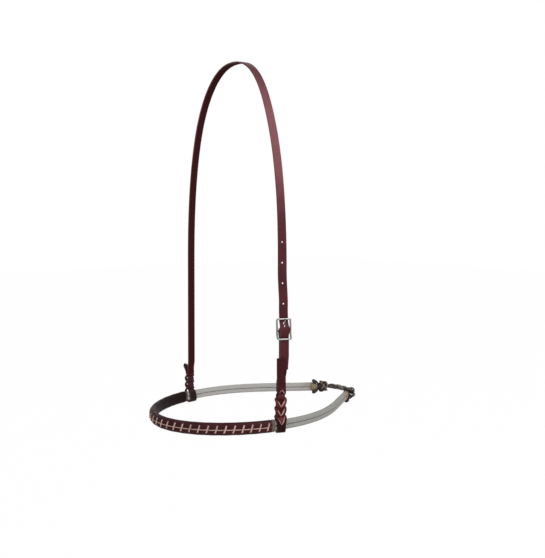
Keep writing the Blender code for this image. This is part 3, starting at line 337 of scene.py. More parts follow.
class CoverSettings(PropertyGroup):
    """Looks of the laced cover and its bindings."""

    leather: colour("Leather", "Colour of the cover", (0.040, 0.0105, 0.0125))
    lace: colour("Lace", "Colour of the seam's lace", (0.44, 0.27, 0.235))
    lace_width: length("Lace width", "Width of the flat lace", 2.2 * MM)
    lace_thickness: length("Lace thickness", "Thickness of the flat lace", 0.9 * MM)
    stitches: IntProperty(name="Stitches", description="Stitches along the seam", min=4,
                          default=28)
    binding: colour("Binding", "Colour of the binding cord", (0.165, 0.128, 0.100))
    binding_turns: IntProperty(name="Binding turns", description="Turns of cord at each end",
                               min=1, default=3)


class KnotSettings(PropertyGroup):
    """Looks of the rear collars, knots and link."""

    lace: colour("Dark lace", "Colour of the dark lace", (0.036, 0.025, 0.027))
    knot: colour("Knot lace", "Colour of the brown lace of the knots", (0.150, 0.098, 0.062))
    worn: colour("Worn lace", "Colour of the worn lace of the link", (0.150, 0.125, 0.100))
    lace_radius: length("Lace radius", "Half width of one lace of the knots", 1.1 * MM)


class BuckleSettings(PropertyGroup):
    """Looks of the buckle."""

    steel: colour("Steel", "Colour of the steel", (0.33, 0.32, 0.31))


class StageSettings(PropertyGroup):
    """Floor and lamps."""

    floor: colour("Floor", "Colour of the floor and backdrop", (0.9, 0.9, 0.9))
    floor_drop: length("Floor drop", "How far below the crown the floor lies", 0.80)
    key: FloatProperty(name="Key", description="Power of the main lamp in watts", default=30.0)
    fill: FloatProperty(name="Fill", description="Power of the second lamp in watts",
                        default=9.0)
    sky: FloatProperty(name="Sky", description="Strength of the even light", default=0.45)
    white_sky: BoolProperty(name="White sky", description="Show the sky white", default=True)


class NosebandSettings(PropertyGroup):
    """Everything that a user may change."""

    strap: PointerProperty(type=StrapSettings)
    rope: PointerProperty(type=RopeSettings)
    cover: PointerProperty(type=CoverSettings)
    knot: PointerProperty(type=KnotSettings)
    buckle: PointerProperty(type=BuckleSettings)
    stage: PointerProperty(type=StageSettings)


# Curves and profiles

def ease(value):
    """Smooth step from 0 to 1."""
    value = min(max(value, 0.0), 1.0)
    return value * value * (3.0 - 2.0 * value)


def eased_profile(keys, height):
    """Read a smooth value at a height from (height, value) keys that run upwards."""
    if height <= keys[0][0]:
        return keys[0][1]
    for (low, start), (high, end) in zip(keys, keys[1:]):
        if height <= high:
            return start + (end - start) * ease((height - low) / (high - low))
    return keys[-1][1]


def shares(count):
    """Evenly spaced shares from 0 to 1, both included."""
    return [i / count for i in range(count + 1)]


def steps(start, end, size):
    """Evenly spaced values from start to end, about size apart."""
    count = max(2, round(abs(end - start) / size))
    return [start + (end - start) * share for share in shares(count)]


def bezier(a, b, c, d, count):
    """Points on a cubic, both ends included."""
    return [a * (1.0 - t) ** 3 + b * (3 * t * (1.0 - t) ** 2) + c * (3 * t * t * (1.0 - t))
            + d * t ** 3 for t in shares(count)]


class Route:
    """A polyline that can be read at any distance along it."""

    def __init__(self, points):
        self.points = points
        self.marks = [0.0]
        for a, b in zip(points, points[1:]):
            self.marks.append(self.marks[-1] + (b - a).length)
        self.length = self.marks[-1]

    def at(self, distance):
        """Point and unit tangent at a distance from the start."""
        distance = min(max(distance, 0.0), self.length)
        index = 0
        while index < len(self.points) - 2 and self.marks[index + 1] < distance:
            index += 1
        a, b = self.points[index], self.points[index + 1]
        share = (distance - self.marks[index]) / (self.marks[index + 1] - self.marks[index])
        before = self.points[max(index - 1, 0)]
        after = self.points[min(index + 2, len(self.points) - 1)]
        tangent = (b - before).lerp(after - a, share).normalized()
        return a.lerp(b, share), tangent


# Pieces

def mesh_object(name, bm, materials):
    """Turn a bmesh into an object of the scene."""
    mesh = bpy.data.meshes.new(name)
    bm.to_mesh(mesh)
    bm.free()
    for material in materials:
        mesh.materials.append(material)
    made = bpy.data.objects.new(name, mesh)
    bpy.context.scene.collection.objects.link(made)
    return made


def finish_piece(name, bm, materials, body, nodes):
    """Turn a bmesh into a smooth piece that rides on a body and stands for its solids."""
    for face in bm.faces:
        face.smooth = True
    piece = mesh_object(name, bm, materials)
    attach(piece, body)
    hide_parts(*nodes)
    return piece


def thicken(name, piece, thickness, rim, even=False, back=0):
    """Give a sheet its thickness to both sides, with other materials at its back and rim."""
    solid = piece.modifiers.new(name, "SOLIDIFY")
    solid.thickness = thickness
    solid.offset = 0.0
    solid.use_even_offset = even
    solid.material_offset = back
    solid.material_offset_rim = rim


def rub_edges(piece, width, segments):
    """Round the cut edges of a piece."""
    bevel = piece.modifiers.new("rubbed_edges", "BEVEL")
    bevel.width = width
    bevel.segments = segments
    bevel.limit_method = "ANGLE"
    bevel.angle_limit = math.radians(50.0)
    bevel.harden_normals = True


def start_mesh():
    """A bmesh with a UV layer."""
    bm = bmesh.new()
    bm.loops.layers.uv.new("UVMap")
    return bm


def frames_of(points, normals, closed=False):
    """Rows of point, side and up for a sweep, from its points and the way it faces there."""
    count = len(points)
    rows = []
    for i, (point, normal) in enumerate(zip(points, normals)):
        if closed:
            tangent = points[(i + 1) % (count - 1)] - points[(i - 1) % (count - 1)]
        else:
            tangent = points[min(i + 1, count - 1)] - points[max(i - 1, 0)]
        side = tangent.cross(normal).normalized()
        rows.append((point, side, side.cross(tangent).normalized()))
    return rows


def oval(half_width, half_height, squareness=1.0):
    """Section of a lace or rope: round at squareness 1, fuller below it."""
    def place(turn, _share):
        c, s = math.cos(turn), math.sin(turn)
        return (half_width * math.copysign(abs(c) ** squareness, c),
                half_height * math.copysign(abs(s) ** squareness, s))
    return place


def rounded_off(share, least=0.0):
    """Share of the full width at a share of the way into a rounded end."""
    return math.sqrt(max(1.0 - max(1.0 - share, 0.0) ** 2, least))


def sweep(bm, rows, section, around, material=0):
    """Sweep a section along rows of point, side and up, closed round and at both ends."""
    layer = bm.loops.layers.uv.verify()
    made = bmesh.ops.create_grid(bm, x_segments=around, y_segments=len(rows) - 1, size=1.0,
                                 calc_uvs=True)["verts"]
    run = sum((b[0] - a[0]).length for a, b in zip(rows, rows[1:]))
    faces = {face for vert in made for face in vert.link_faces}
    for face in faces:
        face.material_index = material
        for loop in face.loops:
            loop[layer].uv.y *= run
    for vert in made:
        share = (vert.co.y + 1.0) / 2
        point, side, up = rows[round(share * (len(rows) - 1))]
        side_by, up_by = section((vert.co.x + 1.0) * math.pi, share)
        vert.co = point + side * side_by + up * up_by
    bmesh.ops.remove_doubles(bm, verts=made, dist=MERGE)
    edges = {edge for face in faces if face.is_valid for edge in face.edges}
    ends = [edge for edge in edges if edge.is_boundary]
    if ends:
        caps = bmesh.ops.holes_fill(bm, edges=ends, sides=around + 1)["faces"]
        for cap in caps:
            cap.material_index = material
        faces.update(caps)
    bmesh.ops.recalc_face_normals(bm, faces=[face for face in faces if face.is_valid])


# Materials

def plain_material(name, base, roughness, metallic=0.0):
    """A Principled material with its fixed numbers on the shader, and its tree."""
    material = bpy.data.materials.new(name)
    material.use_nodes = True
    tree = material.node_tree
    shader = tree.nodes["Principled BSDF"]
    shader.inputs["Base Color"].default_value = (*base, 1.0)
    shader.inputs["Roughness"].default_value = roughness
    shader.inputs["Metallic"].default_value = metallic
    return material, tree, shader


def add_node(tree, kind, values=None, **settings):
    """A node with its settings and the values of its inputs."""
    node = tree.nodes.new(kind)
    for key, value in settings.items():
        setattr(node, key, value)
    for key, value in (values or {}).items():
        node.inputs[key].default_value = value
    return node


def placed(tree, output, scale=(1.0, 1.0, 1.0)):
    """Coordinates of one kind, scaled."""
    source = add_node(tree, "ShaderNodeTexCoord")
    mapping = add_node(tree, "ShaderNodeMapping", {"Scale": scale})
    tree.links.new(source.outputs[output], mapping.inputs["Vector"])
    return mapping.outputs["Vector"]


def noise(tree, vector, scale, detail=3.0, roughness=0.5):
    """Noise read at a place."""
    node = add_node(tree, "ShaderNodeTexNoise",
                    {"Scale": scale, "Detail": detail, "Roughness": roughness})
    tree.links.new(vector, node.inputs["Vector"])
    return node.outputs["Fac"]


def span(tree, value, low, high, start=0.0, end=1.0):
    """Map a value from one range to another, clamped."""
    node = add_node(tree, "ShaderNodeMapRange", {"From Min": low, "From Max": high,
                                                 "To Min": start, "To Max": end})
    tree.links.new(value, node.inputs["Value"])
    return node.outputs["Result"]


def maths(tree, operation, first, second=None):
    """One sum on values or plain numbers."""
    node = add_node(tree, "ShaderNodeMath", operation=operation)
    for socket, value in zip(node.inputs, (first, second)):
        if isinstance(value, (int, float)):
            socket.default_value = value
        elif value is not None:
            tree.links.new(value, socket)
    return node.outputs["Value"]


def blend(tree, amount, first, second):
    """Mix two colours, each a colour value or a link, by a linked amount."""
    node = add_node(tree, "ShaderNodeMix", data_type="RGBA")
    tree.links.new(amount, node.inputs["Factor"])
    for socket, value in ((node.inputs[6], first), (node.inputs[7], second)):
        if isinstance(value, tuple):
            socket.default_value = (*value, 1.0)
        else:
            tree.links.new(value, socket)
    return node.outputs[2]


def shade(base, factor):
    """A colour made darker or lighter."""
    return tuple(min(channel * factor, 1.0) for channel in base)


def mottled(tree, pattern, base, darker, lighter, low=0.35, high=0.7):
    """A base colour between two shades of it, by a pattern."""
    return blend(tree, span(tree, pattern, low, high), shade(base, darker), shade(base, lighter))


def coordinate(tree, vector, axis):
    """One coordinate of a place."""
    parts = add_node(tree, "ShaderNodeSeparateXYZ")
    tree.links.new(vector, parts.inputs["Vector"])
    return parts.outputs[axis]


def dress(tree, shader, tone, height, distance, strength):
    """Give a surface its colour, and its bump from a height value."""
    tree.links.new(tone, shader.inputs["Base Color"])
    bump = add_node(tree, "ShaderNodeBump", {"Strength": strength, "Distance": distance})
    tree.links.new(height, bump.inputs["Height"])
    tree.links.new(bump.outputs["Normal"], shader.inputs["Normal"])


def pebbles(tree, vector, scale):
    """Height of a pebbled grain: rounded cells with fine creases between them."""
    cells = add_node(tree, "ShaderNodeTexVoronoi", {"Scale": scale}, feature="F1")
    tree.links.new(vector, cells.inputs["Vector"])
    creases = span(tree, cells.outputs["Distance"], 0.2, 0.75, 1.0, 0.0)
    return maths(tree, "ADD", creases, noise(tree, vector, scale * 2.3, 4.0))


def paler_upwards(tree, place, tone, worn, heights):
    """Blend a tone into a paler one between two heights, and back again over the crown."""
    patchy = span(tree, noise(tree, place, 30.0), 0.3, 0.7, -0.015, 0.015)
    height = maths(tree, "ADD", coordinate(tree, place, "Z"), patchy)
    amount = maths(tree, "MULTIPLY", span(tree, height, *heights),
                   span(tree, height, *DARK_CROWN_HEIGHTS))
    return blend(tree, amount, tone, worn)


def grain_leather(name, base, roughness, scale=780.0, lift=0.22 * MM, worn=None,
                  heights=WORN_AND_SHEEN_HEIGHTS, gloss_level=0.13, shaded=None, painted_low_shade=None):
    """Oiled grain leather: mottled tone, pebbled grain, an optional paler band, and optional
    painted shade.
    """
    material, tree, shader = plain_material(name, base, roughness)
    place = placed(tree, "Object")
    tone = mottled(tree, noise(tree, place, 34.0, 4.0, 0.6), base, 0.78, 1.22, 0.35, 0.68)
    # Paler band: on the crown strap part wear and part painted sheen; on the near strap the loop
    # below is darker
    if worn:
        tone = paler_upwards(tree, place, tone, worn, heights)
    # Painted shade low down
    if painted_low_shade:
        amount = span(tree, coordinate(tree, place, "Z"), *PAINTED_LOW_SHADE_HEIGHTS)
        tone = blend(tree, amount, tone, painted_low_shade)
    # Painted shade across the piece, darker towards the far side
    if shaded:
        amount = span(tree, coordinate(tree, place, "Y"), *SHADED_ACROSS)
        tone = blend(tree, amount, tone, shaded)
    specks = span(tree, noise(tree, place, 900.0, 2.0), 0.55, 0.75, 0.0, 0.35)
    tone = blend(tree, specks, tone, shade(base, 0.45))
    gloss = span(tree, noise(tree, place, 120.0), 0.3, 0.7, roughness - 0.07, roughness + 0.09)
    tree.links.new(gloss, shader.inputs["Roughness"])
    dress(tree, shader, tone, pebbles(tree, place, scale), lift, 0.6)
    shader.inputs["Specular IOR Level"].default_value = gloss_level
    return material


def flesh_leather(name, base):
    """Rough underside: fibres and a dusty variation."""
    material, tree, shader = plain_material(name, base, 0.78)
    fibres = noise(tree, placed(tree, "UV", (12.0, 260.0, 1.0)), 6.0, 4.0, 0.7)
    nap = noise(tree, placed(tree, "Object"), 1300.0, 5.0, 0.7)
    dress(tree, shader, mottled(tree, fibres, base, 0.7, 1.6), nap, 0.3 * MM, 0.6)
    shader.inputs["Specular IOR Level"].default_value = 0.02
    return material


def cut_leather(name, base, worn=None):
    """Cut edge: fine layers and patches of dye, with an optional paler band of wear and painted
    highlight.
    """
    material, tree, shader = plain_material(name, base, 0.66)
    place = placed(tree, "Object")
    dye = span(tree, noise(tree, place, 420.0, 4.0, 0.7), 0.35, 0.72)
    tone = blend(tree, dye, base, shade(base, 0.6))
    # On the crown strap's edge the paler band is part wear and part painted highlight
    if worn:
        tone = paler_upwards(tree, place, tone, shade(worn, 1.8), WORN_AND_HIGHLIGHT_CUT_HEIGHTS)
    dress(tree, shader, tone, noise(tree, place, 1500.0, 4.0), 0.2 * MM, 0.5)
    return material


def rope_fibre(settings):
    """Pale rope of fine lengthwise strands, stained towards the rear, with painted shade in its
    grooves and on its near side.
    """
    base = tuple(settings.fibre)
    material, tree, shader = plain_material("rope_fibre", base, 0.82)
    place = placed(tree, "Object")
    strands = maths(tree, "MULTIPLY", coordinate(tree, placed(tree, "UV"), "X"),
                    2 * math.pi * settings.ridges)
    grooves = span(tree, maths(tree, "COSINE", strands), -1.0, -0.2, 1.0, 0.0)
    fibres = noise(tree, placed(tree, "UV", (90.0, 260.0, 1.0)), 1.6, 4.0, 0.65)
    tone = mottled(tree, fibres, base, 0.84, 1.12, 0.3, 0.7)
    # Painted shade in the grooves between the strands
    tone = blend(tree, maths(tree, "MULTIPLY", grooves, 0.3), tone, shade(base, 0.62))
    # Painted shade: the rope turns darker towards its near side
    painted_near_shade = span(tree, coordinate(tree, place, "Y"), *PAINTED_NEAR_SHADE_ACROSS, 0.0, 0.32)
    tone = blend(tree, painted_near_shade, tone, shade(base, 0.2))
    patchy = span(tree, noise(tree, place, 60.0, 4.0), 0.3, 0.7, -0.006, 0.006)
    rear = maths(tree, "ADD", coordinate(tree, place, "X"), patchy)
    tone = blend(tree, span(tree, rear, *STAINED_BACK), tone, tuple(settings.stain))
    height = maths(tree, "ADD", maths(tree, "MULTIPLY", fibres, 0.6),
                   maths(tree, "MULTIPLY", grooves, -0.6))
    dress(tree, shader, tone, height, 0.25 * MM, 0.7)
    return material


def lace_leather(name, base, roughness, sheen=0.0, gloss_level=0.4):
    """Smooth lace with a lengthwise grain and worn patches."""
    material, tree, shader = plain_material(name, base, roughness)
    patches = noise(tree, placed(tree, "Object"), 160.0, 4.0, 0.6)
    streaks = noise(tree, placed(tree, "UV", (7.0, 120.0, 1.0)), 3.0, 4.0, 0.6)
    tone = mottled(tree, patches, base, 0.7, 1.3, 0.38, 0.68)
    dress(tree, shader, tone, streaks, 0.25 * MM, 0.5)
    shader.inputs["Sheen Weight"].default_value = sheen
    shader.inputs["Specular IOR Level"].default_value = gloss_level
    return material


def binding_fibre(name, base):
    """Twisted cord: slanting plies and loose fibres."""
    material, tree, shader = plain_material(name, base, 0.85)
    along = placed(tree, "UV")
    slant = maths(tree, "ADD", maths(tree, "MULTIPLY", coordinate(tree, along, "X"), 2.0),
                  maths(tree, "MULTIPLY", coordinate(tree, along, "Y"), 900.0))
    plies = maths(tree, "SINE", maths(tree, "MULTIPLY", slant, 2 * math.pi))
    tone = mottled(tree, noise(tree, placed(tree, "Object"), 1400.0), base, 0.8, 1.3)
    shadowed = maths(tree, "MULTIPLY", span(tree, plies, -1.0, 0.1, 1.0, 0.0), 0.6)
    tone = blend(tree, shadowed, tone, shade(base, 0.4))
    dress(tree, shader, tone, plies, 0.2 * MM, 0.7)
    return material


def brushed_steel(base):
    """Worn stainless wire with fine scratches."""
    material, tree, shader = plain_material("brushed_steel", base, 0.24, 1.0)
    smears = noise(tree, placed(tree, "Object"), 300.0, 4.0)
    tree.links.new(span(tree, smears, 0.3, 0.7, 0.16, 0.38), shader.inputs["Roughness"])
    scratches = noise(tree, placed(tree, "Object", (1.0, 1.0, 6.0)), 1800.0, 2.0)
    dress(tree, shader, mottled(tree, smears, base, 0.75, 1.0), scratches, 0.04 * MM, 0.4)
    return material


# Straps

# Finishes of a strap's faces; each has three materials, for its grain, flesh and cut sides
LONG_FINISH, DRAWN_SLIT_FINISH, DRAWN_FINISH, SLIT_FINISH = 0, 3, 6, 9


def near_turn(height):
    """How far the near cheek strap has turned to the front at a height."""
    return NEAR_TURN * ease((NEAR_TURN_TOP - height) / (NEAR_TURN_TOP - NEAR_TURN_BOTTOM))


def cheek_axes(side, height):
    """Out and across directions of a cheek at a height, side is 1 near and -1 far."""
    yaw = CHEEK_YAW + (near_turn(height) if side > 0 else 0.0)
    across = Vector((math.cos(yaw), -side * math.sin(yaw), 0.0))
    out = Vector((math.sin(yaw), side * math.cos(yaw), 0.0))
    return out, across


def cheek_point(side, out_by, height, forward=0.0, along=0.0):
    """Point at an offset from the middle line of a cheek strap, and along its width."""
    out, across = cheek_axes(side, height)
    ahead = Vector((math.cos(CHEEK_YAW), -side * math.sin(CHEEK_YAW), 0.0))
    line = Vector((0.0, side * HALF_SPREAD, height)) + ahead * forward
    return line + out * out_by + across * along


class Station:
    """One row of a strap: its middle, width direction, half width, slit and raised shape."""

    def __init__(self, middle, across, half_width, eye=0.0, bulge=None, lip=None,
                 drawn=False):
        self.middle = middle
        self.across = across
        self.half_width = half_width
        self.eye = eye
        self.bulge = bulge
        self.lip = lip
        self.drawn = drawn


def smooth_middles(stations, first, last):
    """Ease the kinks of the middle line between two rows."""
    for _ in range(SMOOTHING_PASSES):
        middles = [station.middle.copy() for station in stations]
        for i in range(max(first, 1), min(last, len(stations) - 1)):
            stations[i].middle = (middles[i - 1] + middles[i] * 2 + middles[i + 1]) / 4


def punch_hole(bm, reach, hole):
    """Open a rounded hole in a strap, within a reach to each side of its middle."""
    middle, half_width, half_length = hole
    across = cheek_axes(1, middle.z)[1]
    inside = []
    for face in bm.faces:
        away = face.calc_center_median() - middle
        beside = abs(away.z) < half_length and abs(away.dot(across)) < reach
        if beside and away.length < HOLE_REGION:
            inside.append(face)
    facing = inside[0].normal.copy()
    along = facing.cross(across).normalized()
    middle = middle + facing * (inside[0].calc_center_median() - middle).dot(facing)
    rim = {edge for face in inside for edge in face.edges
           if any(other not in inside for other in edge.link_faces)}
    squareness = max(half_width / half_length, LEAST_HOLE_SQUARENESS)
    bmesh.ops.delete(bm, geom=inside, context="FACES")
    for item in bmesh.ops.extrude_edge_only(bm, edges=list(rim))["geom"]:
        if isinstance(item, bmesh.types.BMVert):
            side, rise = (item.co - middle).dot(across), (item.co - middle).dot(along)
            turn = math.atan2(rise / half_length, side / half_width)
            side, rise = oval(half_width, half_length, squareness)(turn, 0.0)
            item.co = middle + across * side + along * rise


def lay_strap(bm, stations):
    """Cut a strap with its slits and lay it along its stations."""
    layer = bm.loops.layers.uv.verify()
    last = len(stations) - 1
    columns = 2 * STRAP_COLUMNS + 1
    made = bmesh.ops.create_grid(bm, x_segments=columns, y_segments=last, size=1.0,
                                 calc_uvs=True)["verts"]
    faces = {face for vert in made for face in vert.link_faces}
    run = sum((b.middle - a.middle).length for a, b in zip(stations, stations[1:]))
    between = []
    for face in faces:
        middle = face.calc_center_median()
        column = round(abs(middle.x) * columns / 2)
        if column == 0:
            between.append(face)
        station = stations[min(round((middle.y + 1.0) / 2 * last), last)]
        by_slit = station.eye > 0.0 and column <= 1
        if station.drawn:
            face.material_index = DRAWN_SLIT_FINISH if by_slit else DRAWN_FINISH
        else:
            face.material_index = SLIT_FINISH if by_slit else LONG_FINISH
        for loop in face.loops:
            loop[layer].uv.y *= run
    bmesh.ops.delete(bm, geom=between, context="FACES_ONLY")
    for vert in made:
        station = stations[round((vert.co.y + 1.0) / 2 * last)]
        side = math.copysign(1.0, vert.co.x)
        share = (abs(vert.co.x) * columns - 1.0) / (columns - 1.0)
        offset = station.eye + (station.half_width - station.eye) * share
        vert.co = station.middle + station.across * (side * offset)
        if station.bulge:
            vert.co += station.bulge * (1.0 - (offset / station.half_width) ** 2)
            vert.co += station.lip * (1.0 - share) ** 2
    bmesh.ops.remove_doubles(bm, verts=made, dist=STRAP_MERGE)
    bm.normal_update()


def crossing_heights(side):
    """Heights of the crossings above the ropes: four on the near side, three on the far one."""
    pitch = NEAR_CROSSING_PITCH if side > 0 else CROSSING_PITCH
    heights = [FIRST_CROSSING + pitch * k for k in range(FAR_CROSSINGS)]
    if side > 0:
        heights.append(heights[-1] + TOP_CROSSING_PITCH)
    return heights


def knot_end(side):
    """Height where a blood knot's last wave ends, half a pitch over its last crossing."""
    return crossing_heights(side)[-1] + CROSSING_PITCH / 2


def knot_top(side):
    """Height where the strap is flat again above its blood knot."""
    return knot_end(side) + KNOT_TOP_RUN


def knot_forward(side, height):
    """Forward shift of a blood knot and its loop at a height above the ropes."""
    crossings = crossing_heights(side)
    if side > 0:
        keys = [(crossings[0], NEAR_LOOP_FORWARD), (knot_top(1), NEAR_KNOT_TOP_FORWARD),
                (TAIL_END_RISE, TAB_FORWARD)]
    else:
        keys = [(-PAIR_HALF_HEIGHT, 0.0), (crossings[0] + CROSSING_PITCH / 2, FAR_KNOT_FORWARD),
                (crossings[-1], FAR_KNOT_FORWARD), (knot_top(-1) + CROSSING_PITCH, 0.0)]
    return eased_profile(keys, height)


def knot_point(side, out_by, height):
    """Point of a blood knot or its loop, at a height above the ropes."""
    return cheek_point(side, out_by, height - NOSEBAND_DROP, knot_forward(side, height))


def slit_opening(distance, lower_end, upper_end):
    """How far a slit is open at a distance above its crossing, from 0 to 1, closing in a V."""
    full = CROSSING_PITCH * EYE_FULL_SHARE
    end = CROSSING_PITCH * (upper_end if distance > 0 else lower_end)
    return min(max((end - abs(distance)) / (end - full), 0.0), 1.0)


def leg_offset(height, side, outer, top_offset, leg_out):
    """Outward offset of one leg at a height above the ropes."""
    heights = crossing_heights(side)
    sign = 1.0 if outer else -1.0
    if height <= ROPE_LIFT:
        return sign * leg_out
    if height <= heights[0]:
        turn = (height - ROPE_LIFT) / (heights[0] - ROPE_LIFT)
        return sign * leg_out * math.cos(turn * math.pi / 2)
    for k, (low, high) in enumerate(zip(heights, heights[1:])):
        if height <= high:
            wave = math.sin(math.pi * (height - low) / (high - low))
            return -sign * (-1.0) ** k * KNOT_DEPTH * wave
    end_sign = -sign * (-1.0) ** (len(heights) - 1)
    wave = math.sin(math.pi / 2 * min((height - heights[-1]) / (CROSSING_PITCH / 2), 1.0))
    run = ease((height - knot_end(side)) / KNOT_TOP_RUN)
    return end_sign * KNOT_DEPTH * wave + (top_offset - end_sign * KNOT_DEPTH) * run


def leg_widths(height, side, outer, strap_half):
    """Half width and slit of one leg at a height above the ropes."""
    above = ease((height - knot_end(side)) / CROSSING_PITCH)
    half_width = WAIST_HALF_WIDTH + (strap_half - WAIST_HALF_WIDTH) * above
    eye = 0.0
    for k, centre in enumerate(crossing_heights(side)):
        passing = PASSING_HALF_WIDTH * PASSING_SHARES[k]
        eye_half = passing + EYE_CLEARANCE
        distance = height - centre
        if OUTER_LEG_SLIT[k] == outer:
            opening = slit_opening(distance, EYE_LOWER_END_SHARES[k], EYE_UPPER_END_SHARES[k])
            eye = max(eye, eye_half * opening)
            spread = (eye_half + EYE_STRAND_WIDTH - WAIST_HALF_WIDTH) * LOBE_SHARES[k]
            half_width += spread * ease(opening)
        else:
            narrow = CROSSING_PITCH * SQUEEZE_FULL_SHARE
            end = CROSSING_PITCH * SQUEEZE_END_SHARE
            squeeze = ease((end - abs(distance)) / (end - narrow))
            half_width -= (half_width - passing) * squeeze
    return half_width, eye


def leg_stations(side, outer, top, top_offset, strap):
    """Rows of one leg, from the level of the upper rope up to a height above the ropes."""
    leg_out = leg_reach(side, strap)
    heights = crossing_heights(side)
    drawn_top = heights[-1] + (DRAWN_ABOVE_OUTER if outer else DRAWN_ABOVE_INNER)
    rows = []
    for height in steps(ROPE_LIFT, top, KNOT_STEP):
        out, across = cheek_axes(side, height - NOSEBAND_DROP)
        out_by = leg_offset(height, side, outer, top_offset, leg_out)
        half_width, eye = leg_widths(height, side, outer, strap.width / 2)
        front = min(max(out_by / KNOT_DEPTH * FRONT_GAIN, -1.0), 1.0)
        knotted = ease((height - ROPE_LIFT) / ROPE_LIFT)
        knotted *= ease((heights[-1] + CROSSING_PITCH - height) / ROPE_LIFT)
        opening = min(eye / (PASSING_HALF_WIDTH * LIP_FULL_SHARE), 1.0)
        rows.append(Station(knot_point(side, out_by, height), across, half_width,
                            eye if eye > LEAST_SLIT else 0.0,
                            bulge=out * (LOBE_BULGE * knotted * front),
                            lip=out * (SLIT_LIP * opening * front),
                            drawn=heights[0] - DRAWN_BELOW < height < drawn_top))
    return rows


def tuck_stations(strap):
    """Rows of the leather that shows in the lowest slit, where the inner leg dives in."""
    top = FIRST_CROSSING + STRAP_STEP
    low = FIRST_CROSSING - EYE_LOWER_END_SHARES[0] * CROSSING_PITCH
    leg_out = leg_reach(1, strap)
    rows = []
    for height in steps(top, low, FINE_STEP):
        share = (top - height) / (top - low)
        out_by = min(leg_offset(height, 1, True, 0.0, leg_out), leg_out) - TUCK_DEPTH
        half_width = PASSING_HALF_WIDTH * (1.0 - share) + TUCK_END_HALF_WIDTH
        across = cheek_axes(1, height - NOSEBAND_DROP)[1]
        rows.append(Station(knot_point(1, out_by, height), across, half_width, drawn=True))
    return rows


def leg_reach(side, strap):
    """Outward offset of the loop's legs beside the ropes, more where the loop is turned."""
    room = LOOP_TURN_ROOM if side > 0 else LOOP_TURN_ROOM / 2
    return ROPE_RADIUS + ROPE_CLEARANCE + strap.thickness / 2 + room


def loop_stations(side, strap):
    """Rows round the underside of the lower rope, from the outer leg to the inner one."""
    across = cheek_axes(side, -NOSEBAND_DROP)[1]
    leg_out = leg_reach(side, strap)
    low = -ROPE_LIFT - LOOP_DROP
    route = [(leg_out, height) for height in steps(ROPE_LIFT, low, STRAP_STEP)[1:-1]]
    route += [(leg_out * math.cos(math.pi * share), low - leg_out * math.sin(math.pi * share))
              for share in shares(LOOP_BEND_ROWS)]
    route += [(-leg_out, height) for height in steps(low, ROPE_LIFT, STRAP_STEP)[1:-1]]
    return [Station(knot_point(side, out_by, height), across, WAIST_HALF_WIDTH)
            for out_by, height in route]


def buckle_heights():
    """Heights of the bottom, centre and top bars."""
    centre = -CENTRE_BAR_DROP
    return centre - BOTTOM_BAR_FALL, centre, centre + TOP_BAR_RISE


def fold_radius(strap):
    """Radius of the fold's middle round the centre bar."""
    return BAR_RADIUS + BAR_CLEARANCE + strap.thickness / 2


def behind_bar_offset(strap):
    """Outward offset of the crown strap where it passes behind an end bar."""
    return END_BARS_OUT - fold_radius(strap)


def crown_offset(height, strap):
    """Outward offset of the crown strap along the near cheek."""
    bottom, centre, top = buckle_heights()
    settled = top + TOP_BAR_RISE + BOTTOM_BAR_FALL
    behind = behind_bar_offset(strap)
    over = -CENTRE_BAR_IN + fold_radius(strap) + strap.thickness + LAYER_GAP
    return eased_profile([(bottom, behind), (centre, over), (top, behind), (settled, 0.0)],
                         height)


def slot_reach():
    """How far the tongue's eye and its slot reach above and below the centre bar."""
    return BAR_RADIUS + BAR_CLEARANCE * 4 + TONGUE_RADIUS * 2


def crown_forward(height):
    """Forward shift of the crown strap along the near cheek, which drifts back as it goes down."""
    bottom, centre, top = buckle_heights()
    tail_end = TAIL_END_RISE - NOSEBAND_DROP
    keys = [(tail_end, -TAIL_END_BACK), ((tail_end + bottom) / 2, -TAIL_BACK),
            (bottom, -TAIL_BACK), (centre - slot_reach(), -CENTRE_BAR_BACK),
            (centre + slot_reach(), -CENTRE_BAR_BACK), (top, -TOP_BAR_BACK),
            (top + TOP_BAR_RISE, -ABOVE_BUCKLE_BACK), (-FORWARD_SHIFT_DROP, 0.0)]
    return eased_profile(keys, height)


def tongue_line():
    """Pivot, start, direction, eye radius and lean of the tongue, in out and up coordinates."""
    _, centre, top = buckle_heights()
    pivot = Vector((-CENTRE_BAR_IN, centre))
    bar = Vector((END_BARS_OUT, top))
    reach = BAR_RADIUS + BAR_CLEARANCE + TONGUE_RADIUS
    between = bar - pivot
    lean = math.atan2(between.x, between.y) + math.asin(2 * reach / between.length)
    direction = Vector((math.sin(lean), math.cos(lean)))
    start = pivot + Vector((-math.cos(lean), math.sin(lean))) * reach
    return pivot, start, direction, reach, lean


def tongue_hole_height(strap):
    """Height where the tongue crosses the crown strap."""
    _, start, direction, _, _ = tongue_line()
    low, high = 0.0, TOP_BAR_RISE
    for _ in range(HALVINGS):
        middle = (low + high) / 2
        point = start + direction * middle
        if point.x < crown_offset(point.y, strap):
            low = middle
        else:
            high = middle
    return (start + direction * low).y


def arch_foot(strap):
    """Height of the crown strap's middle where the arch stands on the cheeks."""
    return strap.thickness / 2 - ARCH_HEIGHT


def near_station(height, strap):
    """Row of the crown strap on the near side, spread over the fold and level on the arch."""
    if height >= arch_foot(strap):
        return arch_station(arch_angle(height, strap), strap)
    middle = cheek_point(1, crown_offset(height, strap), height, crown_forward(height))
    over_fold = abs(height - buckle_heights()[1] - FOLD_SPREAD_RISE) / slot_reach()
    spread = FOLD_SPREAD * ease(FOLD_SPREAD_REACH - over_fold)
    return Station(middle, cheek_axes(1, height)[1], strap.width / 2 + spread)


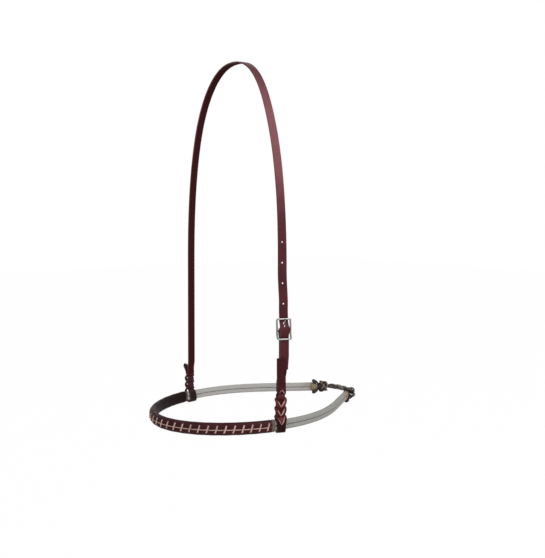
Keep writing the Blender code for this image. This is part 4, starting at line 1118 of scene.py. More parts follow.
def strap_holes(strap):
    """Middle, half width and half length of each hole, the tongue's first."""
    first = tongue_hole_height(strap)
    lowest = near_station(first - TONGUE_HOLE_FALL, strap).middle
    holes = [(lowest, TONGUE_HOLE_HALF_WIDTH, TONGUE_HOLE_HALF_LENGTH)]
    for k in range(1, HOLES_ABOVE_TONGUE + 1):
        middle = near_station(first + HOLE_PITCH * k, strap).middle
        holes.append((middle, strap.hole_radius, strap.hole_radius))
    return holes


def cheek_heights(strap, high):
    """Heights of the crown strap's rows up to a height, close together round each hole."""
    low = TAIL_END_RISE - NOSEBAND_DROP
    holes = [hole[0].z for hole in strap_holes(strap)]
    half = HOLE_ROWS_HALF_LENGTH
    heights = [height for height in steps(low, high, STRAP_STEP)
               if all(abs(height - hole) > half + HOLE_ROWS_MARGIN for hole in holes)]
    for hole in holes:
        heights += [hole + half * share for share in (-1.0, -0.5, 0.0, 0.5, 1.0)]
    return sorted(heights)


def arch_tangent(angle):
    """Unit direction of travel along the arch, from the near side to the far one."""
    power = 2.0 / ARCH_EXPONENT
    cosine = max(abs(math.cos(angle)), LEAST_COSINE)
    sine = max(math.sin(angle), LEAST_COSINE)
    dy = -HALF_SPREAD * power * cosine ** (power - 1) * math.sin(angle)
    dz = ARCH_HEIGHT * power * sine ** (power - 1) * math.cos(angle)
    return Vector((0.0, dy, dz)).normalized()


def arch_station(angle, strap):
    """Row over the crown, at an angle from the near cheek."""
    power = 2.0 / ARCH_EXPONENT
    y = HALF_SPREAD * math.copysign(abs(math.cos(angle)) ** power, math.cos(angle))
    z = arch_foot(strap) + ARCH_HEIGHT * math.sin(angle) ** power
    lean = CROWN_LEAN * max(1.0 + z / CROWN_LEAN_RUN, 0.0) ** 2
    tangent = arch_tangent(angle)
    normal = Vector((0.0, -tangent.z, tangent.y))
    yaw = CHEEK_YAW * y / HALF_SPREAD + (near_turn(z) if y > 0.0 else 0.0)
    across = Vector((math.cos(yaw), 0.0, 0.0)) + normal * math.sin(abs(yaw))
    return Station(Vector((0.0, y + lean, z)), across, strap.width / 2)


def arch_angle(height, strap):
    """Angle from the near cheek at which the arch reaches a height."""
    share = max(height - arch_foot(strap), 0.0) / ARCH_HEIGHT
    return math.asin(share ** (ARCH_EXPONENT / 2.0))


def tail_leg_stations(strap):
    """Inner leg of the far loop, up through the knot and out into the rounded free end."""
    start = knot_end(-1)
    rows = leg_stations(-1, False, start, 0.0, strap)
    across = cheek_axes(-1, 0.0)[1]
    for height in steps(start, TAIL_RISE, KNOT_STEP)[1:]:
        share = (height - start) / (TAIL_RISE - start)
        out_by = KNOT_DEPTH + TAIL_STAND_OFF * share ** TAIL_CURL
        half_width = WAIST_HALF_WIDTH * (1.0 - TAIL_NARROWING * share)
        half_width *= rounded_off((TAIL_RISE - height) / half_width)
        middle = cheek_point(-1, out_by, height - NOSEBAND_DROP, FAR_KNOT_FORWARD)
        rows.append(Station(middle, across, max(half_width, TAIL_TIP_HALF_WIDTH)))
    return rows


def crown_strap_stations(strap):
    """Rows from the tail below the buckle, over the crown, to the free end of the far knot."""
    top_row = strap_holes(strap)[-1][0].z + ABOVE_TOP_HOLE
    rows = [near_station(height, strap) for height in cheek_heights(strap, top_row)]
    start = arch_angle(top_row, strap)
    rows += [arch_station(start + (math.pi - start) * share, strap)
             for share in shares(ARCH_ROWS)[1:-1]]
    across = cheek_axes(-1, 0.0)[1]
    top = knot_top(-1)
    for height in steps(arch_foot(strap) + NOSEBAND_DROP, top, FAR_CHEEK_STEP)[:-1]:
        rows.append(Station(knot_point(-1, 0.0, height), across, strap.width / 2))
    first = len(rows)
    rows += reversed(leg_stations(-1, True, top, 0.0, strap))
    rows += loop_stations(-1, strap)
    rows += tail_leg_stations(strap)
    smooth_middles(rows, first - 1, len(rows))
    return rows


def near_cheek_stations(strap):
    """Rows of the front tab, outer leg, loop, inner leg, fold and tucked end."""
    across = cheek_axes(1, -NOSEBAND_DROP)[1]
    bottom, centre, _ = buckle_heights()
    layer = strap.thickness + LAYER_GAP
    tail_offset = behind_bar_offset(strap)
    tuck_offset = tail_offset - layer
    inner_offset = tuck_offset - layer
    fold = fold_radius(strap)
    top = knot_top(1)

    def row(out_by, height, forward):
        """Row of the strap at its full width, with the tongue's slot near the fold."""
        middle = cheek_point(1, out_by, height, forward)
        return Station(middle, across, strap.width / 2, fold_slot(height))

    rows = [row(tail_offset + layer, height - NOSEBAND_DROP, knot_forward(1, height))
            for height in steps(TAB_RISE, top, TAB_STEP)[:-1]]
    first = len(rows)
    rows += reversed(leg_stations(1, True, top, tail_offset + layer, strap))
    rows += loop_stations(1, strap)
    rows += leg_stations(1, False, top, -KNOT_DEPTH, strap)
    last = len(rows)
    tail_end = TAIL_END_RISE - NOSEBAND_DROP
    start = top - NOSEBAND_DROP
    keys = [(start, -KNOT_DEPTH), (tail_end, inner_offset), (bottom, inner_offset),
            (centre, -CENTRE_BAR_IN - fold)]
    back = [(start, NEAR_KNOT_TOP_FORWARD), (tail_end, crown_forward(tail_end))]
    for height in steps(start, centre, STRAP_STEP)[1:]:
        forward = crown_forward(height) if height > tail_end else eased_profile(back, height)
        rows.append(row(eased_profile(keys, height), height, forward))
    for share in shares(FOLD_BEND_ROWS)[1:-1]:
        height = centre + fold * math.sin(math.pi * share)
        out_by = -CENTRE_BAR_IN - fold * math.cos(math.pi * share)
        rows.append(row(out_by, height, crown_forward(height)))
    keys = [(bottom, tuck_offset), (centre, -CENTRE_BAR_IN + fold)]
    rows += [row(eased_profile(keys, height), height, crown_forward(height))
             for height in steps(centre, FOLD_END_RISE - NOSEBAND_DROP, STRAP_STEP)]
    smooth_middles(rows, first - 1, last)
    return rows


def fold_slot(height):
    """Half width of the slot that lets the tongue through the fold."""
    low = buckle_heights()[1] - slot_reach()
    return TONGUE_SLOT_HALF_WIDTH if height > low else 0.0


def finish_strap(name, bm, strap, near):
    """Thickness, rubbed edges and the finishes of a strap, along it and in its knot."""
    grain, drawn, raw = tuple(strap.grain), tuple(strap.knot), tuple(strap.cut)
    back, worn, heights = shade(drawn, 0.8), tuple(strap.worn), WORN_AND_SHEEN_HEIGHTS
    if near:
        # The near strap is darker than the crown strap, and darker still towards its loop at the
        # bottom
        grain, worn, heights = tuple(strap.loop), shade(grain, 0.66), NEAR_LOOP_DARKENING_HEIGHTS
    else:
        # Painted shade: on the far strap the leather drawn through the knot and its back are
        # darker copies of the grain
        drawn, back, raw = shade(grain, 0.55), shade(grain, 0.45), shade(grain, 2.0)
    # Crown strap: a paler band of wear and painted sheen on its grain
    grain_side = grain_leather(name + "_grain", grain, 0.44, worn=worn, heights=heights,
                               gloss_level=0.05 if near else 0.13,
                               # Painted shade over the far knot and loop, low down
                               painted_low_shade=None if near else shade(grain, 0.14))
    flesh_side = flesh_leather(name + "_flesh", tuple(strap.flesh))
    dyed_cut = cut_leather(name + "_cut", shade(grain, 1.3), None if near else worn)
    drawn_grain = grain_leather(name + "_drawn_grain", drawn, 0.5)
    drawn_back = grain_leather(name + "_drawn_back", back, 0.55)
    raw_cut = cut_leather(name + "_raw_cut", raw)
    materials = [grain_side, flesh_side, dyed_cut, drawn_grain, drawn_back, raw_cut,
                 drawn_grain, drawn_back, dyed_cut, grain_side, flesh_side, raw_cut]
    piece = finish_piece(name, bm, materials, "headstall",
                         [name.removesuffix("_leather")])
    thicken("thickness", piece, strap.thickness, 2, even=True, back=1)
    rub_edges(piece, strap.rounding, 3)


# Noseband

def nose_route():
    """Plan of the noseband, from the near rear end round the front to the far rear end."""
    level = -NOSEBAND_DROP
    apex = Vector((FRONT_REACH, 0.0, level))
    side = Vector((0.0, HALF_SPREAD, level))
    back = Vector((-REAR_REACH, KNOT_HALF_GAP, level))
    ahead = Vector((math.cos(CHEEK_YAW), -math.sin(CHEEK_YAW), 0.0))
    inward = Vector((math.cos(REAR_ANGLE), math.sin(REAR_ANGLE), 0.0))
    quarter = bezier(back, back + inward * (REAR_REACH * REAR_END_HANDLE_SHARE),
                     side - ahead * (REAR_REACH * REAR_SIDE_HANDLE_SHARE), side, ROUTE_POINTS)
    apex_handle = Vector((0.0, HALF_SPREAD * FRONT_HANDLE_SHARE, 0.0))
    quarter += bezier(side, side + ahead * (FRONT_REACH * SIDE_HANDLE_SHARE),
                      apex + apex_handle, apex, ROUTE_POINTS)[1:]
    mirrored = [Vector((p.x, -p.y, p.z)) for p in reversed(quarter[:-1])]
    return Route(quarter + mirrored)


def end_length():
    """How far the ropes stop short of the route's ends, for the cap and the collar."""
    return END_GAP + END_CAP_LENGTH + END_GAP + COLLAR_TIP_RADIUS * 2


def route_rows(route, start, end, count, out_by=0.0, up_by=0.0):
    """Rows of a sweep along the noseband."""
    rows = []
    for share in shares(count):
        point, tangent = route.at(start + (end - start) * share)
        out = Vector((-tangent.y, tangent.x, 0.0)).normalized()
        rows.append((point + out * out_by + UP * up_by, out, UP))
    return rows


def cover_section(share, grow):
    """Point of the cover's outline as out and up, for a share of the way round from the seam."""
    radius = COVER_RADIUS + grow
    straight = 2 * ROPE_LIFT
    total = 2 * straight + 2 * math.pi * radius
    distance = (share * total) % total
    if distance < straight:
        return radius, straight / 2 - distance
    distance -= straight
    if distance < math.pi * radius:
        turn = distance / radius
        return radius * math.cos(turn), -straight / 2 - radius * math.sin(turn)
    distance -= math.pi * radius
    if distance < straight:
        return -radius, -straight / 2 + distance
    turn = (distance - straight) / radius
    return -radius * math.cos(turn), straight / 2 + radius * math.sin(turn)


def section_place(route, distance, out_by, up_by):
    """World point beside the route, out from the loop and up."""
    point, tangent = route.at(distance)
    return point + Vector((-tangent.y, tangent.x, 0.0)) * out_by + UP * up_by


def facing_at(route, distance, share):
    """Direction that the cover faces at a place on it."""
    inner = section_place(route, distance, *cover_section(share, 0.0))
    outer = section_place(route, distance, *cover_section(share, 5.0 * MM))
    return (outer - inner).normalized()


def cover_rows(route, places):
    """Rows of a sweep on the cover, from distance, share round it and lift of each."""
    points = [section_place(route, distance, *cover_section(share, lift))
              for distance, share, lift in places]
    normals = [facing_at(route, distance, share) for distance, share, _ in places]
    return frames_of(points, normals)


def cover_span(route):
    """Start and end of the cover along the route."""
    loop = route.marks[ROUTE_POINTS]
    return loop + COVER_END_TO_NEAR_LOOP, route.length - loop - COVER_END_TO_FAR_LOOP


def stitch_middles(route, count):
    """Distances of the stitches' middles."""
    start, end = cover_span(route)
    margin = LACE_SLANT + STITCH_MARGIN
    run = end - start - 2 * margin
    return [start + margin + run * share for share in shares(count - 1)]


def stitch_share(t):
    """Share round the section of a stitch, from its upper end to its lower one."""
    face = 2 * ROPE_LIFT / COVER_ROUND
    cap = math.pi * COVER_RADIUS / COVER_ROUND
    top = -cap * (1.0 - STITCH_TOP_SHARE) / 2
    bottom = face + cap * (STITCH_BOTTOM_SHARE - 0.5)
    return (top + (bottom - top) * t) % 1.0


# Rear ends

def end_frame(side):
    """Matrix at the route's end: local X runs on past the end, local Z is up."""
    back = Vector((-math.cos(REAR_ANGLE), -side * math.sin(REAR_ANGLE), 0.0))
    turned = Matrix((back, UP.cross(back), UP)).transposed().to_4x4()
    end = Vector((-REAR_REACH, side * KNOT_HALF_GAP, -NOSEBAND_DROP))
    return Matrix.Translation(end) @ turned


def cap_outline(turn):
    """Place on the rounded end's outline, along and up, for a turn from its base to its tip."""
    along = END_CAP_LENGTH * max(math.sin(turn), 0.0) ** END_CAP_ROUNDING
    up = PAIR_HALF_HEIGHT * max(math.cos(turn), 0.0) ** END_CAP_ROUNDING
    return Vector((along, up))


def link_twist_radius():
    """Distance of each strand's middle from the link's middle."""
    spacing = 2 * LINK_STRAND_RADIUS + LAYER_GAP
    return spacing / (2 * math.sin(math.pi / LINK_STRANDS))


def link_fullness(share):
    """How much fuller the link is at a share of its length than inside its knots."""
    inward = min(share, 1.0 - share) - LINK_SWELL_START
    return 1.0 + LINK_SWELL * ease(inward / LINK_SWELL_RUN)


def link_route():
    """Middle line of the link, from the far end to the near one."""
    lead = END_GAP + 2 * (TURKS_HEAD_HALF_LENGTH + 2 * KNOT_LACE_RADIUS) - LINK_LEAD_SHORTER
    far, near = end_frame(-1), end_frame(1)
    run = [Vector((END_GAP + (lead - END_GAP) * share, 0.0, 0.0))
           for share in shares(LINK_LEAD_ROWS)[:-1]]
    turn_in = Vector((lead, 0.0, 0.0))
    handle = Vector((lead + LINK_HANDLE, 0.0, 0.0))
    bend = bezier(far @ turn_in, far @ handle, near @ handle, near @ turn_in, LINK_BEND_ROWS)
    return Route([far @ point for point in run] + bend + [near @ point for point in run[::-1]])


def round_the_link(turn):
    """Direction out from the link's middle line, in the frame of a rear end."""
    return Vector((0.0, math.cos(turn), math.sin(turn)))


def fill_tan_end(bm):
    """Model half an egg whose flat side lies on the ropes, waisted between the two."""
    bmesh.ops.create_uvsphere(bm, u_segments=48, v_segments=24, radius=1.0)
    cut = bmesh.ops.bisect_plane(bm, geom=bm.verts[:] + bm.edges[:] + bm.faces[:],
                                 plane_co=(0, 0, 0), plane_no=(1, 0, 0), clear_inner=True)
    edges = [item for item in cut["geom_cut"] if isinstance(item, bmesh.types.BMEdge)]
    bmesh.ops.contextual_create(bm, geom=edges)
    for vert in bm.verts:
        turn = math.asin(min(max(vert.co.x, 0.0), 1.0))
        along, up = cap_outline(turn)
        spread = up / PAIR_HALF_HEIGHT / max(math.cos(turn), LEAST_COSINE)
        waist = 1.0 - END_WAIST * math.exp(-(vert.co.z / END_WAIST_SPREAD) ** 2) * math.cos(turn)
        vert.co = Vector((along, vert.co.y * spread * ROPE_RADIUS * waist,
                          vert.co.z * spread * PAIR_HALF_HEIGHT))


def collar_rows(base):
    """Rows of a collar over the tan end, and the collar's half thickness at each."""
    points, normals, radii = [], [], []
    for i in range(-COLLAR_HALF_ROWS, COLLAR_HALF_ROWS + 1):
        turn = COLLAR_START + (math.pi / 2 - COLLAR_START) * (1.0 - abs(i) / COLLAR_HALF_ROWS)
        share = math.sin(turn) ** 2
        radius = COLLAR_RADIUS + (COLLAR_TIP_RADIUS - COLLAR_RADIUS) * share
        step = cap_outline(min(turn + SMALL_TURN, math.pi / 2)) - cap_outline(turn - SMALL_TURN)
        facing = Vector((-step.y, step.x)).normalized() if i else Vector((1.0, 0.0))
        reach = cap_outline(turn) + facing * (END_GAP + radius)
        upper = 1.0 if i <= 0 else -1.0
        points.append(Vector((base + reach.x, 0.0, reach.y * upper)))
        normals.append(Vector((facing.x, 0.0, facing.y * upper)))
        radii.append(radius)
    return frames_of(points, normals), radii


# Operators

class NosebandOperator:
    """What every operator here shares."""

    bl_options = {"REGISTER", "UNDO"}

    @staticmethod
    def settings(context):
        """The user's sizes and colours."""
        return context.scene.noseband


class NOSEBAND_OT_crown_strap(NosebandOperator, Operator):
    """Strap from the buckle over the poll to the far blood knot"""

    bl_idname = "noseband.crown_strap"
    bl_label = "Crown strap"

    def execute(self, context):
        strap = self.settings(context).strap
        bm = start_mesh()
        lay_strap(bm, crown_strap_stations(strap))
        bmesh.ops.reverse_faces(bm, faces=bm.faces)
        for hole in strap_holes(strap):
            punch_hole(bm, strap.width * HOLE_REACH_SHARE, hole)
        finish_strap("crown_strap_leather", bm, strap, False)
        return {"FINISHED"}


class NOSEBAND_OT_near_cheek_strap(NosebandOperator, Operator):
    """Strap from the buckle round the ropes, with its blood knot and front tab"""

    bl_idname = "noseband.near_cheek_strap"
    bl_label = "Near cheek strap"

    def execute(self, context):
        strap = self.settings(context).strap
        bm = start_mesh()
        lay_strap(bm, near_cheek_stations(strap))
        lay_strap(bm, tuck_stations(strap))
        finish_strap("near_cheek_strap_leather", bm, strap, True)
        return {"FINISHED"}


class NOSEBAND_OT_buckle(NosebandOperator, Operator):
    """Three-bar wire buckle and its tongue"""

    bl_idname = "noseband.buckle"
    bl_label = "Buckle"

    def execute(self, context):
        steel = brushed_steel(tuple(self.settings(context).buckle.steel))
        half = BUCKLE_INSIDE_WIDTH / 2 + WIRE_RADIUS
        out = cheek_axes(1, -CENTRE_BAR_DROP)[0]
        frame_points = self.frame_points(half)
        bar_points = self.bar_points(half)
        wire = oval(WIRE_RADIUS, WIRE_RADIUS)
        bm = start_mesh()
        sweep(bm, frames_of(frame_points, [out] * len(frame_points), closed=True), wire,
              WIRE_SIDES)
        sweep(bm, frames_of(bar_points, [UP] * len(bar_points)), wire, WIRE_SIDES)
        finish_piece("buckle_wire", bm, [steel], "headstall", ["buckle_frame"])
        self.add_tongue(steel)
        return {"FINISHED"}

    @staticmethod
    def frame_points(half):
        """Closed middle line of the bowed frame."""
        bottom, centre, top = buckle_heights()
        corner = BUCKLE_CORNER_RADIUS
        flat = []
        for side, level, quarter in ((1, top, 0), (-1, top, 1), (-1, bottom, 2), (1, bottom, 3)):
            inward = -corner if level == top else corner
            for share in shares(8):
                turn = math.pi / 2 * (quarter + share)
                flat.append((side * (half - corner) + corner * math.cos(turn),
                             level + inward + corner * math.sin(turn)))
            if quarter in (1, 3):
                ends = (top - corner, bottom + corner)
                start, end = ends if quarter == 1 else ends[::-1]
                flat += [(side * half, start + (end - start) * share)
                         for share in shares(20)[1:-1]]
        points = []
        for x, z in flat:
            reach = (top - centre) if z > centre else (centre - bottom)
            share = min(abs(z - centre) / reach, 1.0)
            bow = END_BARS_OUT - SIDE_BOW * (1.0 - share ** 2)
            points.append(cheek_point(1, bow, z, crown_forward(z), x + BUCKLE_FORWARD))
        return points + [points[0].copy()]

    @staticmethod
    def bar_points(half):
        """Middle line of the centre bar, cranked in between its ends."""
        sides_out = END_BARS_OUT - SIDE_BOW
        points = []
        for x in steps(-half, half, FINE_STEP):
            crank = ease((half - abs(x)) / CRANK_RUN)
            out_by = sides_out - (sides_out + CENTRE_BAR_IN) * crank
            points.append(cheek_point(1, out_by, -CENTRE_BAR_DROP, -CENTRE_BAR_BACK,
                                      x + BUCKLE_FORWARD))
        return points

    @staticmethod
    def add_tongue(steel):
        """Make the wire that is bent round the centre bar and rests on the top bar."""
        pivot, start, direction, reach, lean = tongue_line()
        flat = []
        for share in shares(24):
            turn = math.pi - lean + TONGUE_EYE_SWEEP * (1.0 - share)
            flat.append(pivot + Vector((math.cos(turn), math.sin(turn))) * reach)
        shank = (buckle_heights()[2] - start.y) / direction.y + TONGUE_OVERHANG
        flat += [start + direction * (shank * share) for share in shares(16)[1:]]
        points = [cheek_point(1, point.x, point.y, -CENTRE_BAR_BACK) for point in flat]
        across = cheek_axes(1, -CENTRE_BAR_DROP)[1]

        def wire(turn, share):
            """Round wire that is rounded off at its tip."""
            radius = TONGUE_RADIUS * rounded_off((1.0 - share) * len(points) / TONGUE_TIP_ROWS,
                                                 0.05)
            return radius * math.cos(turn), radius * math.sin(turn)

        bm = start_mesh()
        sweep(bm, frames_of(points, [across] * len(points)), wire, LACE_SIDES)
        finish_piece("tongue_wire", bm, [steel], "tongue", ["buckle_tongue"])


class NOSEBAND_OT_ropes(NosebandOperator, Operator):
    """Two ropes of lengthwise strands, one above the other"""

    bl_idname = "noseband.ropes"
    bl_label = "Ropes"

    def execute(self, context):
        settings = self.settings(context).rope
        fibre = rope_fibre(settings)
        route = nose_route()
        start = end_length()

        def strands(turn, touching):
            """Rope outline, pressed fuller where the ropes touch, with low ridges."""
            radius = ROPE_RADIUS * (1.0 + RIDGE_SHARE * math.cos(settings.ridges * turn))
            pressed = math.sin(turn) * touching > 0.0
            squareness = TOUCHING_SQUARENESS if pressed else OPEN_SQUARENESS
            return oval(radius, radius, squareness)(turn, 0.0)

        for name, lift, touching in (("upper_rope", ROPE_LIFT, -1.0),
                                     ("lower_rope", -ROPE_LIFT, 1.0)):
            bm = start_mesh()
            rows = route_rows(route, start, route.length - start, ROPE_ROWS, up_by=lift)
            sweep(bm, rows, lambda turn, _share: strands(turn, touching), settings.ridges * 6)
            finish_piece(name + "_fibre", bm, [fibre], "noseband", [name])
        return {"FINISHED"}


class NOSEBAND_OT_cover(NosebandOperator, Operator):
    """Leather cover round both ropes, pulled in by its lace"""

    bl_idname = "noseband.cover"
    bl_label = "Cover"

    def execute(self, context):
        settings = self.settings(context).cover
        route = nose_route()
        start, end = cover_span(route)
        middles = stitch_middles(route, settings.stitches)
        slit = COVER_SEAM_OPENING / COVER_ROUND
        bm = start_mesh()
        layer = bm.loops.layers.uv.verify()
        bmesh.ops.create_grid(bm, x_segments=COVER_COLUMNS, y_segments=COVER_ROWS, size=1.0,
                              calc_uvs=True)
        for face in bm.faces:
            for loop in face.loops:
                loop[layer].uv.y *= end - start
        for vert in bm.verts:
            turn = (vert.co.x + 1.0) / 2
            share = COVER_SEAM_SHARE + slit / 2 + turn * (1.0 - slit)
            distance = start + (end - start) * (vert.co.y + 1.0) / 2
            nearest = min(abs(distance - middle) for middle in middles)
            to_seam = min(turn, 1.0 - turn)
            pull = math.exp(-(nearest / COVER_PULL_RUN) ** 2
                            - (to_seam / COVER_PULL_SHARE) ** 2)
            swell = COVER_SWELL * math.sin(distance * COVER_WAVES_ALONG)
            swell *= math.sin(turn * COVER_WAVES_ROUND)
            place = cover_section(share, swell - COVER_PULL * pull)
            vert.co = section_place(route, distance, *place)
        bmesh.ops.recalc_face_normals(bm, faces=bm.faces)
        base = tuple(settings.leather)
        # Painted shade: the cover turns darker towards its far side
        leather = grain_leather("cover_leather", base, 0.46, 620.0, 0.2 * MM,
                                gloss_level=0.06, shaded=shade(base, 0.2))
        cut = cut_leather("cover_cut", shade(base, 2.2))
        piece = finish_piece("laced_cover", bm, [leather, leather, cut], "noseband",
                             ["nose_cover"])
        thicken("wall", piece, COVER_WALL, 2)
        rub_edges(piece, COVER_ROUNDING, 2)
        return {"FINISHED"}


class NOSEBAND_OT_lacing(NosebandOperator, Operator):
    """Flat lace along the cover's seam, with a slanted stitch at each step"""

    bl_idname = "noseband.lacing"
    bl_label = "Lacing"

    def execute(self, context):
        settings = self.settings(context).cover
        route = nose_route()
        half = settings.lace_width / 2
        thick = settings.lace_thickness / 2
        middles = stitch_middles(route, settings.stitches)
        pitch = middles[1] - middles[0]
        bm = start_mesh()
        for middle in middles:
            places = []
            for t in shares(STITCH_ROWS):
                dive = max(1.0 - min(t, 1.0 - t) / STITCH_DIVE_SHARE, 0.0) ** 2
                places.append((middle + LACE_SLANT * (t - 0.5), stitch_share(t),
                               COVER_WALL / 2 + thick - STITCH_DIVE * dive))
            sweep(bm, cover_rows(route, places), oval(half, thick, 0.6), LACE_SIDES)
        for middle in middles[:-1]:
            places = []
            for t in shares(SEAM_ROWS):
                dive = max(1.0 - min(t, 1.0 - t) / SEAM_DIVE_SHARE, 0.0) ** 2
                along = SEAM_GAP_SHARE + (1.0 - 2 * SEAM_GAP_SHARE) * t
                places.append((middle + pitch * along, COVER_SEAM_SHARE,
                               COVER_WALL / 2 + thick * SEAM_LIFT_SHARE - SEAM_DIVE * dive))
            flat = oval(half * SEAM_WIDTH_SHARE, thick * SEAM_THICKNESS_SHARE, 0.7)
            sweep(bm, cover_rows(route, places), flat, CORD_SIDES)
        lace = lace_leather("seam_lace", tuple(settings.lace), 0.5)
        finish_piece("seam_lacing", bm, [lace], "noseband", ["nose_lacing"])
        return {"FINISHED"}


class NOSEBAND_OT_bindings(NosebandOperator, Operator):
    """Cord wound round the ropes at each end of the cover"""

    bl_idname = "noseband.bindings"
    bl_label = "Bindings"

    def execute(self, context):
        settings = self.settings(context).cover
        route = nose_route()
        base = tuple(settings.binding)
        start, end = cover_span(route)
        turns = settings.binding_turns
        for word, width in (("near", NEAR_BINDING_WIDTH), ("far", FAR_BINDING_WIDTH)):
            pitch = width / (turns + 1)
            radius = pitch / 2 - BINDING_TURN_GAP
            half = width / 2 + BINDING_TO_COVER
            lift = ROPE_RADIUS + LAYER_GAP + radius - COVER_RADIUS
            middle = start - half if word == "near" else end + half
            # Painted shade: the far binding is a darker copy of the cord
            fibre = binding_fibre(word + "_binding_fibre",
                                  base if word == "near" else shade(base, 0.4))
            places = [(middle + pitch * turns * (share - 0.5), turns * share + 0.5, lift)
                      for share in shares(TURN_ROWS * turns)]
            bm = start_mesh()
            sweep(bm, cover_rows(route, places), oval(radius, radius), CORD_SIDES)
            finish_piece(word + "_cord_binding", bm, [fibre], "noseband",
                         [word + "_cover_binding"])
        return {"FINISHED"}


class NOSEBAND_OT_rope_ends(NosebandOperator, Operator):
    """Rounded tan ends and the dark collars that hug them"""

    bl_idname = "noseband.rope_ends"
    bl_label = "Rope ends"

    def execute(self, context):
        settings = self.settings(context)
        tan = grain_leather("tan_rawhide", tuple(settings.rope.end), 0.5, 520.0, 0.15 * MM)
        dark = lace_leather("collar_leather", tuple(settings.knot.lace), 0.46, gloss_level=0.14)
        base = END_GAP - end_length()
        for word, side in (("near", 1), ("far", -1)):
            bm = bmesh.new()
            fill_tan_end(bm)
            place = end_frame(side) @ Matrix.Translation((base, 0.0, 0.0))
            bmesh.ops.transform(bm, matrix=place, verts=bm.verts)
            bmesh.ops.recalc_face_normals(bm, faces=bm.faces)
            finish_piece(word + "_tan_end", bm, [tan], "noseband",
                         [word + "_rope_end"])
            rows, radii = collar_rows(base)
            last = len(radii) - 1

            def band(turn, share):
                """Flat band with rolled edges, slimmer round the tip and at its ends."""
                radius = radii[round(share * last)]
                taper = rounded_off(min(share, 1.0 - share) * last / COLLAR_TAPER_ROWS, 0.06)
                wide, high = oval(radius * COLLAR_WIDTH_SHARE, radius, 0.75)(turn, share)
                curl = wide ** 2 / (2 * (ROPE_RADIUS + COLLAR_RADIUS))
                return wide * taper, (high - curl) * taper

            bm = start_mesh()
            sweep(bm, rows, band, BAND_SIDES)
            bmesh.ops.transform(bm, matrix=end_frame(side), verts=bm.verts)
            finish_piece(word + "_dark_collar", bm, [dark], "noseband",
                         [word + "_end_collar"])
        return {"FINISHED"}


class NOSEBAND_OT_end_knots(NosebandOperator, Operator):
    """Woven knots of doubled lace round the roots of the link"""

    bl_idname = "noseband.end_knots"
    bl_label = "End knots"

    def execute(self, context):
        settings = self.settings(context).knot
        laces = [lace_leather("knot_lace", tuple(settings.knot), 0.48, 0.1),
                 lace_leather("knot_lace_dark", tuple(settings.lace), 0.46, gloss_level=0.14)]
        sway = KNOT_LACE_RADIUS + WEAVE_GAP
        link_radius = link_twist_radius() + LINK_STRAND_RADIUS
        middle = link_radius + LAYER_GAP + KNOT_LACE_RADIUS + sway
        long = TURKS_HEAD_HALF_LENGTH
        start = END_GAP + 2 * settings.lace_radius + long
        # Painted shade: a dark sleeve round the link fills the knot's heart, where there would
        # only be shade
        shade_core = link_radius + LAYER_GAP * 2
        for word, side in (("near", 1), ("far", -1)):
            bm = start_mesh()
            normals = [round_the_link(2 * math.pi * share) for share in shares(TURN_ROWS)]
            points = [normal * shade_core + Vector((start, 0.0, 0.0)) for normal in normals]
            sweep(bm, frames_of(points, normals, closed=True),
                  oval(long + CORE_OVERHANG, CORE_HALF_THICKNESS, 0.8), BAND_SIDES, 1)
            points, normals = [], []
            for share in shares(KNOT_ROWS):
                phase = 2 * math.pi * TURKS_HEAD_BIGHTS * share
                radius = middle + sway * WEAVE_SHARE * math.sin(2 * phase)
                normals.append(round_the_link(2 * math.pi * TURKS_HEAD_LEADS * share))
                points.append(normals[-1] * radius
                              + Vector((start + long * math.sin(phase), 0.0, 0.0)))
            lace = oval(settings.lace_radius, settings.lace_radius * 0.8, 0.8)
            for k, beside in enumerate((-1.0, 1.0)):
                rows = [(point + across * (beside * settings.lace_radius), across, up)
                        for point, across, up in frames_of(points, normals, closed=True)]
                sweep(bm, rows, lace, CORD_SIDES, k)
            bmesh.ops.transform(bm, matrix=end_frame(side), verts=bm.verts)
            finish_piece(word + "_woven_knot", bm, laces, "noseband",
                         [word + "_end_knot"])
        return {"FINISHED"}


class NOSEBAND_OT_link(NosebandOperator, Operator):
    """Twisted laces that tie the two rear ends together"""

    bl_idname = "noseband.link"
    bl_label = "Link"

    def execute(self, context):
        settings = self.settings(context).knot
        dark = lace_leather("link_lace", tuple(settings.lace), 0.34, 0.25)
        worn = lace_leather("link_lace_worn", tuple(settings.worn), 0.5, 0.1)
        laces = [dark, worn, dark]
        route = link_route()
        for k in range(LINK_STRANDS):
            points, normals = [], []
            for share in shares(LINK_ROWS):
                point, tangent = route.at(route.length * share)
                out = Vector((-tangent.y, tangent.x, 0.0)).normalized()
                turn = 2 * math.pi * (LINK_TWISTS * share + k / LINK_STRANDS)
                offset = out * math.cos(turn) + UP * math.sin(turn)
                points.append(point + offset * link_twist_radius() * link_fullness(share))
                normals.append(offset)

            def flat_lace(turn, share):
                """Flattened lace, fuller between the knots."""
                full = LINK_STRAND_RADIUS * link_fullness(share)
                wide, thick = LINK_LACE_SHARES
                return oval(full * wide, full * thick, 0.85)(turn, share)

            bm = start_mesh()
            sweep(bm, frames_of(points, normals), flat_lace, LACE_SIDES)
            finish_piece(f"link_lace_{k + 1}", bm, [laces[k]], "noseband",
                         [f"link_strand_{k + 1}"])
        return {"FINISHED"}


